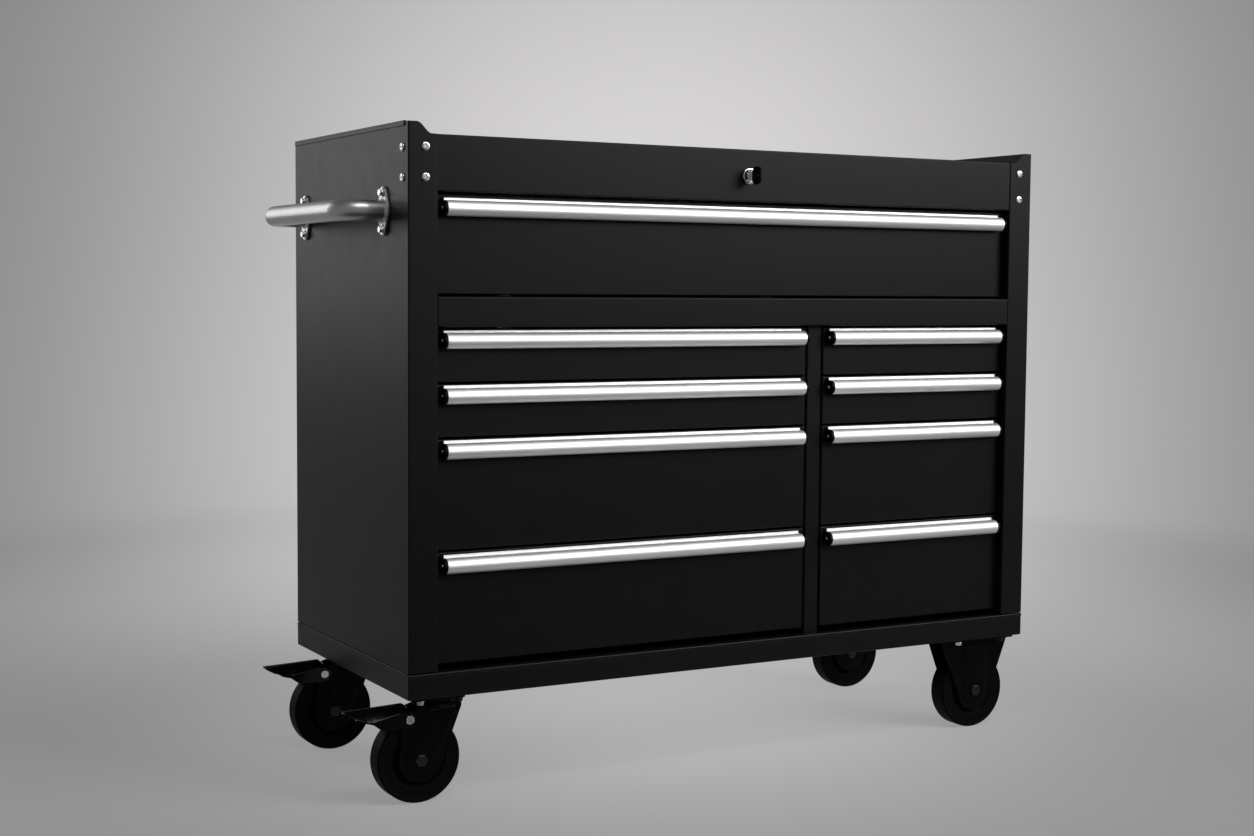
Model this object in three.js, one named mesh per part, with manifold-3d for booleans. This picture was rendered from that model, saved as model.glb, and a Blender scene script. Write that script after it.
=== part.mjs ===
// Rolling tool chest: a steel cabinet with one full-width drawer over two banks of four drawers,
// aluminium drawer pulls, a push handle on the left side, a keyed central lock and four casters.
// Millimetres. X runs to the right as seen from the front, Y to the back and Z up. The pieces are laid
// out in the cabinet's own frame, with X = 0 at the left side face, Y = 0 at the front of the corner
// posts and Z = 0 at the underside of the base. The exported group moves them to the part's frame,
// whose origin is on the floor under the middle of the whole outline.
import * as THREE from "three";
import { mergeVertices } from "three/addons/utils/BufferGeometryUtils.js";
import Module from "manifold-3d";

const wasm = await Module();
wasm.setup();

// ---------------------------------------------------------------- driving dimensions

const SHEET = 1.2; // folded steel sheet
const GAP = 0.3; // clearance between pieces that touch

const WIDTH = 1118; // cabinet, side face to side face
const DEPTH = 470; // cabinet, front of the posts to the back
const HEIGHT = 810; // base to the top edge of the side panels
const BASE_HEIGHT = 37.1; // base pan
const POST_WIDTH = 45; // corner post, folded from the side panel
const JAMB_DEPTH = 25; // the post's inner return
const REAR_FLANGE = 20; // side panel's flange at the back

const HEADER_BOTTOM = 715; // fascia over the drawers
const HEADER_TOP = 794;
const HEADER_SETBACK = 1.5; // fascia face behind the posts
const HEADER_LIP = 14; // how far the fascia's top lip reaches back
const EAR_FLAT = 13; // flat top of each post, before it slopes down to the fascia
const EAR_END = 36;
const RAIL_BOTTOM = 525.6; // middle rail, flush with the posts
const RAIL_TOP = 568.5;
const RAIL_DEPTH = 25;

const DIVIDER_LEFT = 680.8; // centre divider between the two banks
const DIVIDER_RIGHT = 707.6;
const DIVIDER_BACK = 440;

const DECK_HEIGHT = 785; // top surface of the recessed deck
const HEM_BOTTOM = 804; // the deck's rim is folded down over the panels to here

const FRONT_SETBACK = 15; // drawer fronts behind the posts
const FRONT_RETURN = 12; // folded edge of a drawer front
const FRONT_GAP = 3; // drawer front to its opening
const TRAY_BACK = 436; // back wall of every drawer
const TRAY_LIFT = 4; // tray floor above the lower edge of the drawer front
const TRAY_DROP = 14; // tray walls below the upper edge of the drawer front
const SLIDE_THICKNESS = 14; // slide rack to drawer wall
const SLIDE_HEIGHT = 34;
const SLIDE_LEVEL = 0.42; // slide centre, as a share of the tray's height
const SLIDE_FRONT = 32;
const SLIDE_BACK = 440;
const DRAWER_TRAVEL = 300;

const PULL_HEIGHT = 26; // aluminium pull
const PULL_REACH = 20; // how far it stands off the drawer front
const PULL_WALL = 1.8;
const PULL_MARGIN = 14; // end of the aluminium to the edge of the opening

const WHEEL_RADIUS = 63.5;
const WHEEL_WIDTH = 32;
const HUB_RADIUS = 40;
const AXLE_DROP = 91.5; // axle below the base
const AXLE_RADIUS = 6;
const SWIVEL_AXLE_X = 27; // from the left side face
const SWIVEL_TRAIL = 25; // axle to swivel axis
const RIGID_AXLE_X = 1036;
const CASTER_FRONT_Y = 42; // wheel planes
const CASTER_REAR_Y = 393;
const SWIVEL_PLATE_LENGTH = 79; // caster mounting plates
const RIGID_PLATE_LENGTH = 143;
const PLATE_DEPTH = 76;
const FORK_SHEET = 3;
const FORK_OUTSIDE = 41;
const PEDAL_PIVOT = { x: -17, z: -31 }; // from the axle, and from the base
const PEDAL_TIP = -109;
const PEDAL_WIDTH = 46;
const PEDAL_RIDGE = 9; // half width of the ridge along the pedal's top
const PEDAL_ROOF_FALL = 8; // from the ridge to the skirt

const HANDLE = { front: 86, rear: 414, height: 688.7, reach: 61.6, radius: 15.5, bend: 34 };
const HANDLE_FLANGE = { height: 70, width: 40, sheet: 4 };
const HANDLE_BOLT_SPACING = 52;
const BOLT_RADIUS = 3;

const LOCK = { x: WIDTH / 2, z: 753.7, bezel: 12.5, barrel: 9, plug: 5.7, rod: 3 };
const CRANK = { arm: 8, pin: 2, front: 447.5, back: 450 };
const LOCK_LIFT = CRANK.arm * Math.SQRT2; // rise of the crank pin from 45 degrees below to 45 above
const BAR = { y: 452, sheet: 1.5, top: 740, bottom: 708, legEnd: 128, legWidth: 24 };
const BAR_LEG_X = [361, 892]; // behind the left and the right bank
const LUG = { reach: 11, drop: 8, halfWidth: 12, below: 4 };

const FLOOR_DROP = AXLE_DROP + WHEEL_RADIUS; // base to floor

// Drawer rows, from the lower to the upper edge of each front, with the height of the pull's top.
const LEFT_EDGE = POST_WIDTH;
const RIGHT_EDGE = WIDTH - POST_WIDTH;
const ROWS = [
  { bottom: 447.5, top: 522.5, pullTop: 521 },
  { bottom: 369.5, top: 444.5, pullTop: 443 },
  { bottom: 208.5, top: 366.5, pullTop: 365 },
  { bottom: 45.5, top: 205.5, pullTop: 202 },
];
const TOP_ROW = { bottom: 571.5, top: 712, pullTop: 707 };

// ---------------------------------------------------------------- materials

function finish(color, roughness, metalness) {
  return () => new THREE.MeshStandardMaterial({ color, roughness, metalness });
}

const blackPaint = finish(0x1c1d1f, 0.42, 0.1);
const zinc = finish(0xc4c6c8, 0.35, 0.9);
const aluminium = finish(0xd9dadb, 0.3, 0.9);
const chrome = finish(0xe4e5e6, 0.12, 1.0);
const tyreRubber = finish(0x202021, 0.75, 0.0);
const hubPlastic = finish(0x18191a, 0.5, 0.0);
const keyPlastic = finish(0x141415, 0.45, 0.0);

// ---------------------------------------------------------------- shape helpers

// A closed geometry as a solid that can be joined and cut.
function solid(geometry) {
  const bare = geometry.index ? geometry.toNonIndexed() : geometry.clone();
  bare.deleteAttribute("normal");
  bare.deleteAttribute("uv");
  const merged = mergeVertices(bare, 1e-4);
  return new wasm.Manifold(
    new wasm.Mesh({
      numProp: 3,
      vertProperties: merged.attributes.position.array,
      triVerts: new Uint32Array(merged.index.array),
    }),
  );
}

function join(...solids) {
  return solids.reduce((whole, next) => whole.add(next));
}

// The tightest convex solid round several.
function hull(...solids) {
  return wasm.Manifold.hull(solids);
}

function cut(body, ...tools) {
  return tools.reduce((rest, tool) => rest.subtract(tool), body);
}

function block(x0, x1, y0, y1, z0, z1) {
  const geometry = new THREE.BoxGeometry(x1 - x0, y1 - y0, z1 - z0);
  geometry.translate((x0 + x1) / 2, (y0 + y1) / 2, (z0 + z1) / 2);
  return solid(geometry);
}

// Turns a shape drawn on X and Y and grown along Z so that it grows along the named axis.
function turnTo(axis, geometry, from, to) {
  if (axis === "z") {
    return geometry.translate(0, 0, from);
  }
  if (axis === "y") {
    return geometry.rotateX(Math.PI / 2).translate(0, to, 0);
  }
  const basis = new THREE.Matrix4().makeBasis(
    new THREE.Vector3(0, 1, 0),
    new THREE.Vector3(0, 0, 1),
    new THREE.Vector3(1, 0, 0),
  );
  return geometry.applyMatrix4(basis).translate(from, 0, 0);
}

// A prism. Its outline is drawn on (X, Z) for the Y axis, (Y, Z) for X and (X, Y) for Z.
function prism(axis, outline, from, to) {
  const shape = new THREE.Shape(outline.map(([a, b]) => new THREE.Vector2(a, b)));
  const geometry = new THREE.ExtrudeGeometry(shape, { depth: to - from, bevelEnabled: false });
  return solid(turnTo(axis, geometry, from, to));
}

function arc(centre, radius, startDegrees, endDegrees, steps) {
  return Array.from({ length: steps + 1 }, (_, i) => {
    const angle = THREE.MathUtils.degToRad(startDegrees + ((endDegrees - startDegrees) * i) / steps);
    return [centre[0] + radius * Math.cos(angle), centre[1] + radius * Math.sin(angle)];
  });
}

function rod(axis, radius, from, to, centre, sides = 12) {
  return prism(axis, arc(centre, radius, 0, 360 - 360 / sides, sides - 1), from, to);
}

// A ring turned about Y, with a flat facet at the bottom. Its profile is (radius, y), closed on itself.
function turned(profile, segments) {
  const points = [...profile, profile[0]].map(([radius, y]) => new THREE.Vector2(radius, y));
  return solid(new THREE.LatheGeometry(points, segments, Math.PI / segments));
}

function piece(name, body, material) {
  const { vertProperties, triVerts } = body.getMesh();
  const geometry = new THREE.BufferGeometry();
  geometry.setAttribute("position", new THREE.BufferAttribute(vertProperties, 3));
  geometry.setIndex(new THREE.BufferAttribute(triVerts, 1));
  geometry.computeVertexNormals();
  const mesh = new THREE.Mesh(geometry, material());
  mesh.name = name;
  return mesh;
}

function groupAt(x, y, z, ...members) {
  const group = new THREE.Group();
  group.position.set(x, y, z);
  group.add(...members);
  return group;
}

// The same pieces seen in a mirror that stands across X.
function mirrored(x, ...members) {
  const group = groupAt(x, 0, 0, ...members);
  group.scale.x = -1;
  return group;
}

// ---------------------------------------------------------------- cabinet shell

const PANEL_FOOT = BASE_HEIGHT + GAP;
const BACK_FACE = DEPTH - 2 * SHEET - GAP - GAP / 2; // front face of the back panel
const BACK_PANEL_END = BACK_FACE + SHEET;
const INNER_LEFT = SHEET + GAP;
const INNER_RIGHT = WIDTH - INNER_LEFT;
const HEM_TOP = HEIGHT + GAP + SHEET;

// Front of a corner post: an ear at the outside slopes down in a wave to the height of the fascia.
function postOutline() {
  const waveSteps = 6;
  const wave = Array.from({ length: waveSteps + 1 }, (_, i) => {
    const share = i / waveSteps;
    const drop = (1 + Math.cos(Math.PI * share)) / 2;
    return [EAR_FLAT + (EAR_END - EAR_FLAT) * share, HEADER_TOP + (HEIGHT - HEADER_TOP) * drop];
  });
  return [
    [0, PANEL_FOOT],
    [POST_WIDTH, PANEL_FOOT],
    [POST_WIDTH, HEADER_TOP],
    ...wave.reverse(),
    [0, HEIGHT],
  ];
}

function handleBoltPlaces() {
  return [HANDLE.front, HANDLE.rear].flatMap((y) =>
    [-1, 1].map((side) => [y, HANDLE.height + (side * HANDLE_BOLT_SPACING) / 2]),
  );
}

function sidePanel() {
  return join(
    prism("y", postOutline(), 0, SHEET),
    block(0, SHEET, 0, DEPTH, PANEL_FOOT, HEIGHT),
    block(POST_WIDTH - SHEET, POST_WIDTH, 0, JAMB_DEPTH, PANEL_FOOT, HEADER_BOTTOM - GAP),
    block(0, REAR_FLANGE, DEPTH - SHEET, DEPTH, PANEL_FOOT, HEIGHT),
  );
}

function leftSidePanel() {
  const holes = handleBoltPlaces().map((place) => rod("x", BOLT_RADIUS + GAP, -1, SHEET + 1, place));
  return cut(sidePanel(), ...holes);
}

// The lock bar hangs on four headed studs, which stand in its slots.
const STUD = { radius: 4, head: 7, headSheet: 2, topZ: 731, lowZ: 155 };
const STUD_PLACES = [
  [430, STUD.topZ],
  [688, STUD.topZ],
  ...BAR_LEG_X.map((x) => [x, STUD.lowZ]),
];

function backPanel() {
  const headBack = BAR.y - GAP;
  const studs = STUD_PLACES.map((place) =>
    join(
      rod("y", STUD.radius, headBack - 0.5, BACK_FACE + 0.5, place),
      rod("y", STUD.head, headBack - STUD.headSheet, headBack, place),
    ),
  );
  const sheet = block(INNER_LEFT, INNER_RIGHT, BACK_FACE, BACK_PANEL_END, PANEL_FOOT, HEIGHT);
  return join(sheet, ...studs);
}

function basePan() {
  const flange = 18;
  const wall = (x0, x1, y0, y1) => block(x0, x1, y0, y1, 0, BASE_HEIGHT);
  const lip = (x0, x1, y0, y1) => block(x0, x1, y0, y1, BASE_HEIGHT - SHEET, BASE_HEIGHT);
  return join(
    block(0, WIDTH, 0, DEPTH, 0, SHEET),
    wall(0, SHEET, 0, DEPTH),
    wall(WIDTH - SHEET, WIDTH, 0, DEPTH),
    wall(0, WIDTH, 0, SHEET),
    wall(0, WIDTH, DEPTH - SHEET, DEPTH),
    lip(0, flange, 0, DEPTH),
    lip(WIDTH - flange, WIDTH, 0, DEPTH),
    lip(0, WIDTH, 0, flange),
    lip(0, WIDTH, DEPTH - flange, DEPTH),
  );
}

// A hat channel across the base, over a pair of casters, which takes their bolts.
function casterChannel(x) {
  const half = 45;
  const wall = 2;
  const foot = SHEET + GAP;
  const top = 30;
  const front = SHEET + GAP;
  const back = DEPTH - SHEET - GAP;
  return join(
    block(x - half, x + half, front, back, top - wall, top),
    block(x - half, x - half + wall, front, back, foot, top),
    block(x + half - wall, x + half, front, back, foot, top),
  );
}

// The recessed deck: a pan whose side and back rims are folded down over the edges of the panels.
function topTray() {
  const under = DECK_HEIGHT - SHEET;
  const front = HEADER_LIP + GAP;
  const sideFront = 12;
  const sideBack = 466;
  const back = BACK_FACE - GAP;
  const rearLeft = REAR_FLANGE + 1;
  const rearRight = WIDTH - rearLeft;
  const outsideBack = BACK_PANEL_END + GAP;
  const rodHanger = cut(
    block(LOCK.x - 10, LOCK.x + 10, 430, 430 + SHEET, LOCK.z - 10, DECK_HEIGHT - 0.5),
    rod("y", LOCK.rod + GAP, 429, 432, [LOCK.x, LOCK.z]),
  );
  const sideRim = (inner, outer, top0, top1) => [
    block(inner, inner + SHEET, front, back, under, HEM_TOP),
    block(top0, top1, sideFront, sideBack, HEM_TOP - SHEET, HEM_TOP),
    block(outer, outer + SHEET, sideFront, sideBack, HEM_BOTTOM, HEM_TOP),
  ];
  return join(
    block(INNER_LEFT, INNER_RIGHT, front, back, under, DECK_HEIGHT),
    ...sideRim(INNER_LEFT, -GAP - SHEET, -GAP - SHEET, INNER_LEFT + SHEET),
    ...sideRim(INNER_RIGHT - SHEET, WIDTH + GAP, INNER_RIGHT - SHEET, WIDTH + GAP + SHEET),
    block(INNER_LEFT, INNER_RIGHT, back - SHEET, back, under, HEM_TOP),
    block(rearLeft, rearRight, back - SHEET, outsideBack + SHEET, HEM_TOP - SHEET, HEM_TOP),
    block(rearLeft, rearRight, outsideBack, outsideBack + SHEET, HEM_BOTTOM, HEM_TOP),
    block(INNER_LEFT + 1.5, INNER_RIGHT - 1.5, front, front + SHEET, under, HEADER_TOP - GAP),
    rodHanger,
  );
}

// The fascia lies behind the posts. Its end tabs are screwed to the side panels.
function topFascia() {
  const face = HEADER_SETBACK;
  const tabBack = 30;
  const tabTop = DECK_HEIGHT - SHEET - GAP;
  const sheet = block(INNER_LEFT, INNER_RIGHT, face, face + SHEET, HEADER_BOTTOM, HEADER_TOP);
  const body = join(
    sheet,
    block(INNER_LEFT + 1.5, INNER_RIGHT - 1.5, face, HEADER_LIP, HEADER_TOP - SHEET, HEADER_TOP),
    block(INNER_LEFT, INNER_RIGHT, face, JAMB_DEPTH, HEADER_BOTTOM, HEADER_BOTTOM + SHEET),
    block(INNER_LEFT, INNER_LEFT + SHEET, face, tabBack, HEADER_BOTTOM, tabTop),
    block(INNER_RIGHT - SHEET, INNER_RIGHT, face, tabBack, HEADER_BOTTOM, tabTop),
  );
  return cut(body, rod("y", LOCK.barrel + GAP, 0, face + 2 * SHEET, [LOCK.x, LOCK.z], 20));
}

// A channel between the posts, closed at its ends and open at the back.
function middleRail() {
  const left = LEFT_EDGE + GAP;
  const right = RIGHT_EDGE - GAP;
  return cut(
    block(left, right, 0, RAIL_DEPTH, RAIL_BOTTOM, RAIL_TOP),
    block(left + SHEET, right - SHEET, SHEET, RAIL_DEPTH + 1, RAIL_BOTTOM + SHEET, RAIL_TOP - SHEET),
  );
}

function centreDivider() {
  const foot = PANEL_FOOT;
  const top = RAIL_BOTTOM - GAP;
  return cut(
    block(DIVIDER_LEFT, DIVIDER_RIGHT, FRONT_SETBACK, DIVIDER_BACK, foot, top),
    block(
      DIVIDER_LEFT + SHEET,
      DIVIDER_RIGHT - SHEET,
      FRONT_SETBACK + SHEET,
      DIVIDER_BACK + 1,
      foot - 1,
      top + 1,
    ),
  );
}

// ---------------------------------------------------------------- drawers and slides

const RACK_FACE_LEFT = LEFT_EDGE - SHEET - GAP; // rail side of the left slide rack
const RACK_FACE_RIGHT = WIDTH - RACK_FACE_LEFT;
const RACK_FACE_DIVIDER_LEFT = DIVIDER_LEFT - GAP - SHEET;
const RACK_FACE_DIVIDER_RIGHT = DIVIDER_RIGHT + GAP + SHEET;

const BANKS = {
  top: {
    left: LEFT_EDGE,
    right: RIGHT_EDGE,
    trayLeft: RACK_FACE_LEFT + SLIDE_THICKNESS,
    trayRight: RACK_FACE_RIGHT - SLIDE_THICKNESS,
    lugX: LOCK.x,
  },
  left: {
    left: LEFT_EDGE,
    right: DIVIDER_LEFT,
    trayLeft: RACK_FACE_LEFT + SLIDE_THICKNESS,
    trayRight: RACK_FACE_DIVIDER_LEFT - SLIDE_THICKNESS,
    lugX: BAR_LEG_X[0],
  },
  right: {
    left: DIVIDER_RIGHT,
    right: RIGHT_EDGE,
    trayLeft: RACK_FACE_DIVIDER_RIGHT + SLIDE_THICKNESS,
    trayRight: RACK_FACE_RIGHT - SLIDE_THICKNESS,
    lugX: BAR_LEG_X[1],
  },
};

const trayFloor = (row) => row.bottom + TRAY_LIFT;
const trayTop = (row) => row.top - TRAY_DROP;
const slideLevel = (row) => trayFloor(row) + SLIDE_LEVEL * (trayTop(row) - trayFloor(row));
const lugLevel = (row) => trayTop(row) - LUG.below;

// Cabinet member of a slide, a C section that opens away from the rack, on (distance, height).
function cabinetSlideOutline() {
  const half = SLIDE_HEIGHT / 2;
  const reach = 11;
  const lip = 5;
  return [
    [-0.6, -half],
    [reach, -half],
    [reach, -half + lip],
    [reach - SHEET, -half + lip],
    [reach - SHEET, -half + SHEET],
    [SHEET, -half + SHEET],
    [SHEET, half - SHEET],
    [reach - SHEET, half - SHEET],
    [reach - SHEET, half - lip],
    [reach, half - lip],
    [reach, half],
    [-0.6, half],
  ];
}

// Drawer member of a slide, a hat section held behind the lips of the cabinet member.
function drawerSlideOutline() {
  const foot = 3;
  const back = SLIDE_THICKNESS + 0.6;
  const halfFoot = 14;
  const halfWeb = 10;
  return [
    [foot, -halfFoot],
    [foot + SHEET, -halfFoot],
    [foot + SHEET, -halfWeb],
    [back, -halfWeb],
    [back, halfWeb],
    [foot + SHEET, halfWeb],
    [foot + SHEET, halfFoot],
    [foot, halfFoot],
    [foot, halfWeb - SHEET],
    [SLIDE_THICKNESS - SHEET, halfWeb - SHEET],
    [SLIDE_THICKNESS - SHEET, -halfWeb + SHEET],
    [foot, -halfWeb + SHEET],
  ];
}

// Lays a slide section at a rack's face. The side is 1 where the drawer is to the right of the rack.
function slideMember(outline, face, side, level, from, to) {
  const placed = outline.map(([distance, height]) => [face + side * distance, level + height]);
  return prism("y", side > 0 ? placed : placed.reverse(), from, to);
}

function slideRack(face, side, rows, plateFront, plateBack) {
  const levels = rows.map(slideLevel);
  const margin = SLIDE_HEIGHT / 2 + 12;
  const plateBottom = Math.min(...levels) - margin;
  const plateTop = Math.max(...levels) + margin;
  const outer = face - side * SHEET;
  const plate = block(
    Math.min(face, outer),
    Math.max(face, outer),
    plateFront,
    plateBack,
    plateBottom,
    plateTop,
  );
  const rails = levels.map((level) =>
    slideMember(cabinetSlideOutline(), face, side, level, SLIDE_FRONT, SLIDE_BACK),
  );
  return join(plate, ...rails);
}

// The racks by the side panels reach back to the back panel, where they have a welding flange.
function sideSlideRack() {
  const back = BACK_FACE - GAP;
  const levels = [TOP_ROW, ...ROWS].map(slideLevel);
  const flange = block(
    RACK_FACE_LEFT - 22,
    RACK_FACE_LEFT,
    back - SHEET,
    back,
    Math.min(...levels),
    Math.max(...levels),
  );
  return join(slideRack(RACK_FACE_LEFT, 1, [TOP_ROW, ...ROWS], 5, back), flange);
}

// A drawer: the folded front, the tray behind it, a slide member on each side and the lock lug.
function drawerTray(bank, row) {
  const frontLeft = bank.left + FRONT_GAP;
  const frontRight = bank.right - FRONT_GAP;
  const skin = FRONT_SETBACK;
  const inSkin = skin + SHEET / 2;
  const folded = skin + FRONT_RETURN;
  const floor = trayFloor(row);
  const top = trayTop(row);
  const lug = lugLevel(row);
  const lugBack = TRAY_BACK + LUG.reach;
  const level = slideLevel(row);
  const member = drawerSlideOutline();
  return join(
    block(frontLeft, frontRight, skin, skin + SHEET, row.bottom, row.top),
    block(frontLeft, frontRight, skin, folded, row.top - SHEET, row.top),
    block(frontLeft, frontRight, skin, folded, row.bottom, row.bottom + SHEET),
    block(frontLeft, frontLeft + SHEET, skin, folded, row.bottom, row.top),
    block(frontRight - SHEET, frontRight, skin, folded, row.bottom, row.top),
    block(bank.trayLeft, bank.trayRight, inSkin, TRAY_BACK, floor, floor + SHEET),
    block(bank.trayLeft, bank.trayLeft + SHEET, inSkin, TRAY_BACK, floor, top),
    block(bank.trayRight - SHEET, bank.trayRight, inSkin, TRAY_BACK, floor, top),
    block(bank.trayLeft, bank.trayRight, TRAY_BACK - SHEET, TRAY_BACK, floor, top),
    slideMember(member, bank.trayLeft - SLIDE_THICKNESS, 1, level, SLIDE_FRONT - 2, SLIDE_BACK - 15),
    slideMember(member, bank.trayRight + SLIDE_THICKNESS, -1, level, SLIDE_FRONT - 2, SLIDE_BACK - 15),
    block(
      bank.lugX - LUG.halfWidth,
      bank.lugX + LUG.halfWidth,
      TRAY_BACK - SHEET / 2,
      lugBack,
      lug,
      lug + SHEET,
    ),
    block(
      bank.lugX - LUG.halfWidth,
      bank.lugX + LUG.halfWidth,
      lugBack - SHEET,
      lugBack,
      lug - LUG.drop,
      lug + SHEET,
    ),
  );
}

// Section of a pull on (Y, Z), with Z = 0 at its lower edge: a flange on the drawer front, a shelf and a
// round nose that is open underneath for the fingers.
function pullOutline() {
  const shelf = 22.2;
  const flangeFoot = 5;
  const flangeFace = 2.3;
  const noseCentre = [8.5, 10.8];
  const noseRadius = PULL_REACH - noseCentre[0];
  const innerRadius = noseRadius - PULL_WALL;
  const innerShelf = shelf - PULL_WALL;
  const degrees = THREE.MathUtils.radToDeg;
  const outerTop = degrees(Math.asin((shelf - noseCentre[1]) / noseRadius));
  const innerTop = degrees(Math.asin((innerShelf - noseCentre[1]) / innerRadius));
  const lowest = -degrees(Math.asin(noseCentre[1] / noseRadius));
  const section = [
    [GAP, flangeFoot],
    [GAP, PULL_HEIGHT],
    [flangeFace, PULL_HEIGHT],
    [flangeFace, shelf],
    ...arc(noseCentre, noseRadius, outerTop, lowest, 7),
    ...arc(noseCentre, innerRadius, lowest, innerTop, 6),
    [flangeFace, innerShelf],
    [flangeFace, flangeFoot],
  ];
  return section.map(([reach, height]) => [FRONT_SETBACK - reach, height]);
}

function drawerPull(bank, row) {
  const outline = pullOutline().map(([y, z]) => [y, z + row.pullTop - PULL_HEIGHT]);
  return prism("x", outline, bank.left + PULL_MARGIN, bank.right - PULL_MARGIN);
}

// ---------------------------------------------------------------- lock

function lockHousing() {
  const front = -2.8;
  const back = 32;
  const axis = [LOCK.x, LOCK.z];
  const fasciaFront = HEADER_SETBACK;
  const fasciaBack = fasciaFront + SHEET;
  return cut(
    join(
      rod("y", LOCK.bezel, front, fasciaFront - GAP, axis, 24),
      rod("y", LOCK.barrel, front, back, axis, 20),
      rod("y", LOCK.bezel, fasciaBack + GAP, fasciaBack + GAP + 4, axis, 6),
    ),
    rod("y", LOCK.plug + GAP, front - 1, back + 1, axis, 16),
  );
}

// The plug turns with a long rod, whose crank lifts the lock bar at the back.
function lockPlug() {
  const axis = [LOCK.x, LOCK.z];
  const throwX = CRANK.arm / Math.SQRT2;
  const pinAxis = [LOCK.x - throwX, LOCK.z - throwX];
  const barrel = cut(
    rod("y", LOCK.plug, -2.4, 32, axis, 16),
    block(LOCK.x - 1.4, LOCK.x + 1.4, -3, 20, LOCK.z - 3.8, LOCK.z + 3.8),
  );
  const armOutline = [...arc([0, 0], 4.5, -90, 90, 6), ...arc([-CRANK.arm, 0], 4, 90, 270, 6)];
  const tilt = Math.PI / 4;
  const arm = armOutline.map(([along, across]) => [
    LOCK.x + along * Math.cos(tilt) - across * Math.sin(tilt),
    LOCK.z + along * Math.sin(tilt) + across * Math.cos(tilt),
  ]);
  return join(
    barrel,
    rod("y", LOCK.rod, 31.5, CRANK.back - 0.5, axis, 8),
    prism("y", arm, CRANK.front, CRANK.back),
    rod("y", CRANK.pin, CRANK.back - 0.5, BAR.y + BAR.sheet + 3, pinAxis, 8),
  );
}

// The key stands in the plug with its blade upright.
function lockKey() {
  const headOutline = [
    [-32, -10],
    [-28, -13.5],
    [-14, -13.5],
    [-8, -7],
    [-8, 7],
    [-14, 13.5],
    [-28, 13.5],
    [-32, 10],
  ].map(([y, z]) => [y, z + LOCK.z]);
  return join(
    prism("x", headOutline, LOCK.x - 1.9, LOCK.x + 1.9),
    block(LOCK.x - 1.1, LOCK.x + 1.1, -9, 18, LOCK.z - 3.4, LOCK.z + 3.4),
  );
}

// A sheet frame behind the drawers. Its hooks stand under the drawers' lugs, and rise in front of them.
function lockBar() {
  const back = BAR.y + BAR.sheet;
  const sheet = (x0, x1, z0, z1) => block(x0, x1, BAR.y, back, z0, z1);
  const halfLeg = BAR.legWidth / 2;
  const lift = LOCK_LIFT;
  const hook = (x, row) => {
    const tipTop = lugLevel(row) - 1 - lift;
    const armTop = tipTop - 8.5;
    const tipFront = TRAY_BACK + 4.5;
    return [
      block(x - 10, x + 10, tipFront, back, armTop - BAR.sheet, armTop),
      block(x - 10, x + 10, tipFront, tipFront + BAR.sheet, armTop - BAR.sheet, tipTop),
    ];
  };
  const legs = BAR_LEG_X.map((x) => sheet(x - halfLeg, x + halfLeg, BAR.legEnd, BAR.bottom + 1));
  const topHook = lugLevel(TOP_ROW) - 1 - lift - 8.5 - BAR.sheet;
  const pinX = LOCK.x - CRANK.arm / 2 - CRANK.arm / Math.SQRT2 / 2;
  const pinZ = LOCK.z - CRANK.arm / Math.SQRT2;
  const pinRoom = CRANK.pin + 0.5;
  const pinSlot = block(
    pinX - pinRoom - 1.5,
    pinX + pinRoom + 1.5,
    BAR.y - 1,
    back + 1,
    pinZ - pinRoom,
    pinZ + pinRoom,
  );
  const studRoom = STUD.radius + GAP;
  const studSlots = STUD_PLACES.map(([x, z]) =>
    block(x - studRoom, x + studRoom, BAR.y - 1, back + 1, z - lift - studRoom - 0.5, z + studRoom + 0.5),
  );
  return cut(
    join(
      sheet(BAR_LEG_X[0] - halfLeg, BAR_LEG_X[1] + halfLeg, BAR.bottom, BAR.top),
      sheet(LOCK.x - 20, LOCK.x + 6, BAR.top - 1, pinZ + 9),
      sheet(LOCK.x - 10, LOCK.x + 10, topHook, BAR.bottom + 1),
      ...legs,
      ...hook(LOCK.x, TOP_ROW),
      ...ROWS.flatMap((row) => BAR_LEG_X.flatMap((x) => hook(x, row))),
    ),
    pinSlot,
    ...studSlots,
  );
}

// ---------------------------------------------------------------- push handle

// The tube's bent path on (X, Y), out from the front flange, along the side and back in.
class HandlePath extends THREE.Curve {
  constructor() {
    super();
    const wall = -GAP - HANDLE_FLANGE.sheet / 2;
    const out = -HANDLE.reach;
    this.corners = [
      new THREE.Vector3(wall, HANDLE.front, 0),
      new THREE.Vector3(out + HANDLE.bend, HANDLE.front, 0),
      new THREE.Vector3(out, HANDLE.front + HANDLE.bend, 0),
      new THREE.Vector3(out, HANDLE.rear - HANDLE.bend, 0),
      new THREE.Vector3(out + HANDLE.bend, HANDLE.rear, 0),
      new THREE.Vector3(wall, HANDLE.rear, 0),
    ];
    this.stretches = [2, 6, 4, 6, 2]; // steps on each straight and each bend
  }

  getPoint(share, target = new THREE.Vector3()) {
    const total = this.stretches.reduce((sum, steps) => sum + steps);
    let step = share * total;
    let index = 0;
    while (index < this.stretches.length - 1 && step > this.stretches[index]) {
      step -= this.stretches[index];
      index += 1;
    }
    const local = step / this.stretches[index];
    const [start, end] = [this.corners[index], this.corners[index + 1]];
    if (index % 2 === 0) {
      return target.lerpVectors(start, end, local);
    }
    const angle = (local * Math.PI) / 2;
    const turn = index === 1 ? 1 : -1;
    const centreY = index === 1 ? start.y + HANDLE.bend : end.y - HANDLE.bend;
    const swing = index === 1 ? angle : Math.PI / 2 - angle;
    return target.set(
      -HANDLE.reach + HANDLE.bend - HANDLE.bend * Math.sin(swing),
      centreY - turn * HANDLE.bend * Math.cos(swing),
      0,
    );
  }

  getPointAt(share, target) {
    return this.getPoint(share, target);
  }

  getTangentAt(share, target) {
    return this.getTangent(share, target);
  }
}

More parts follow.
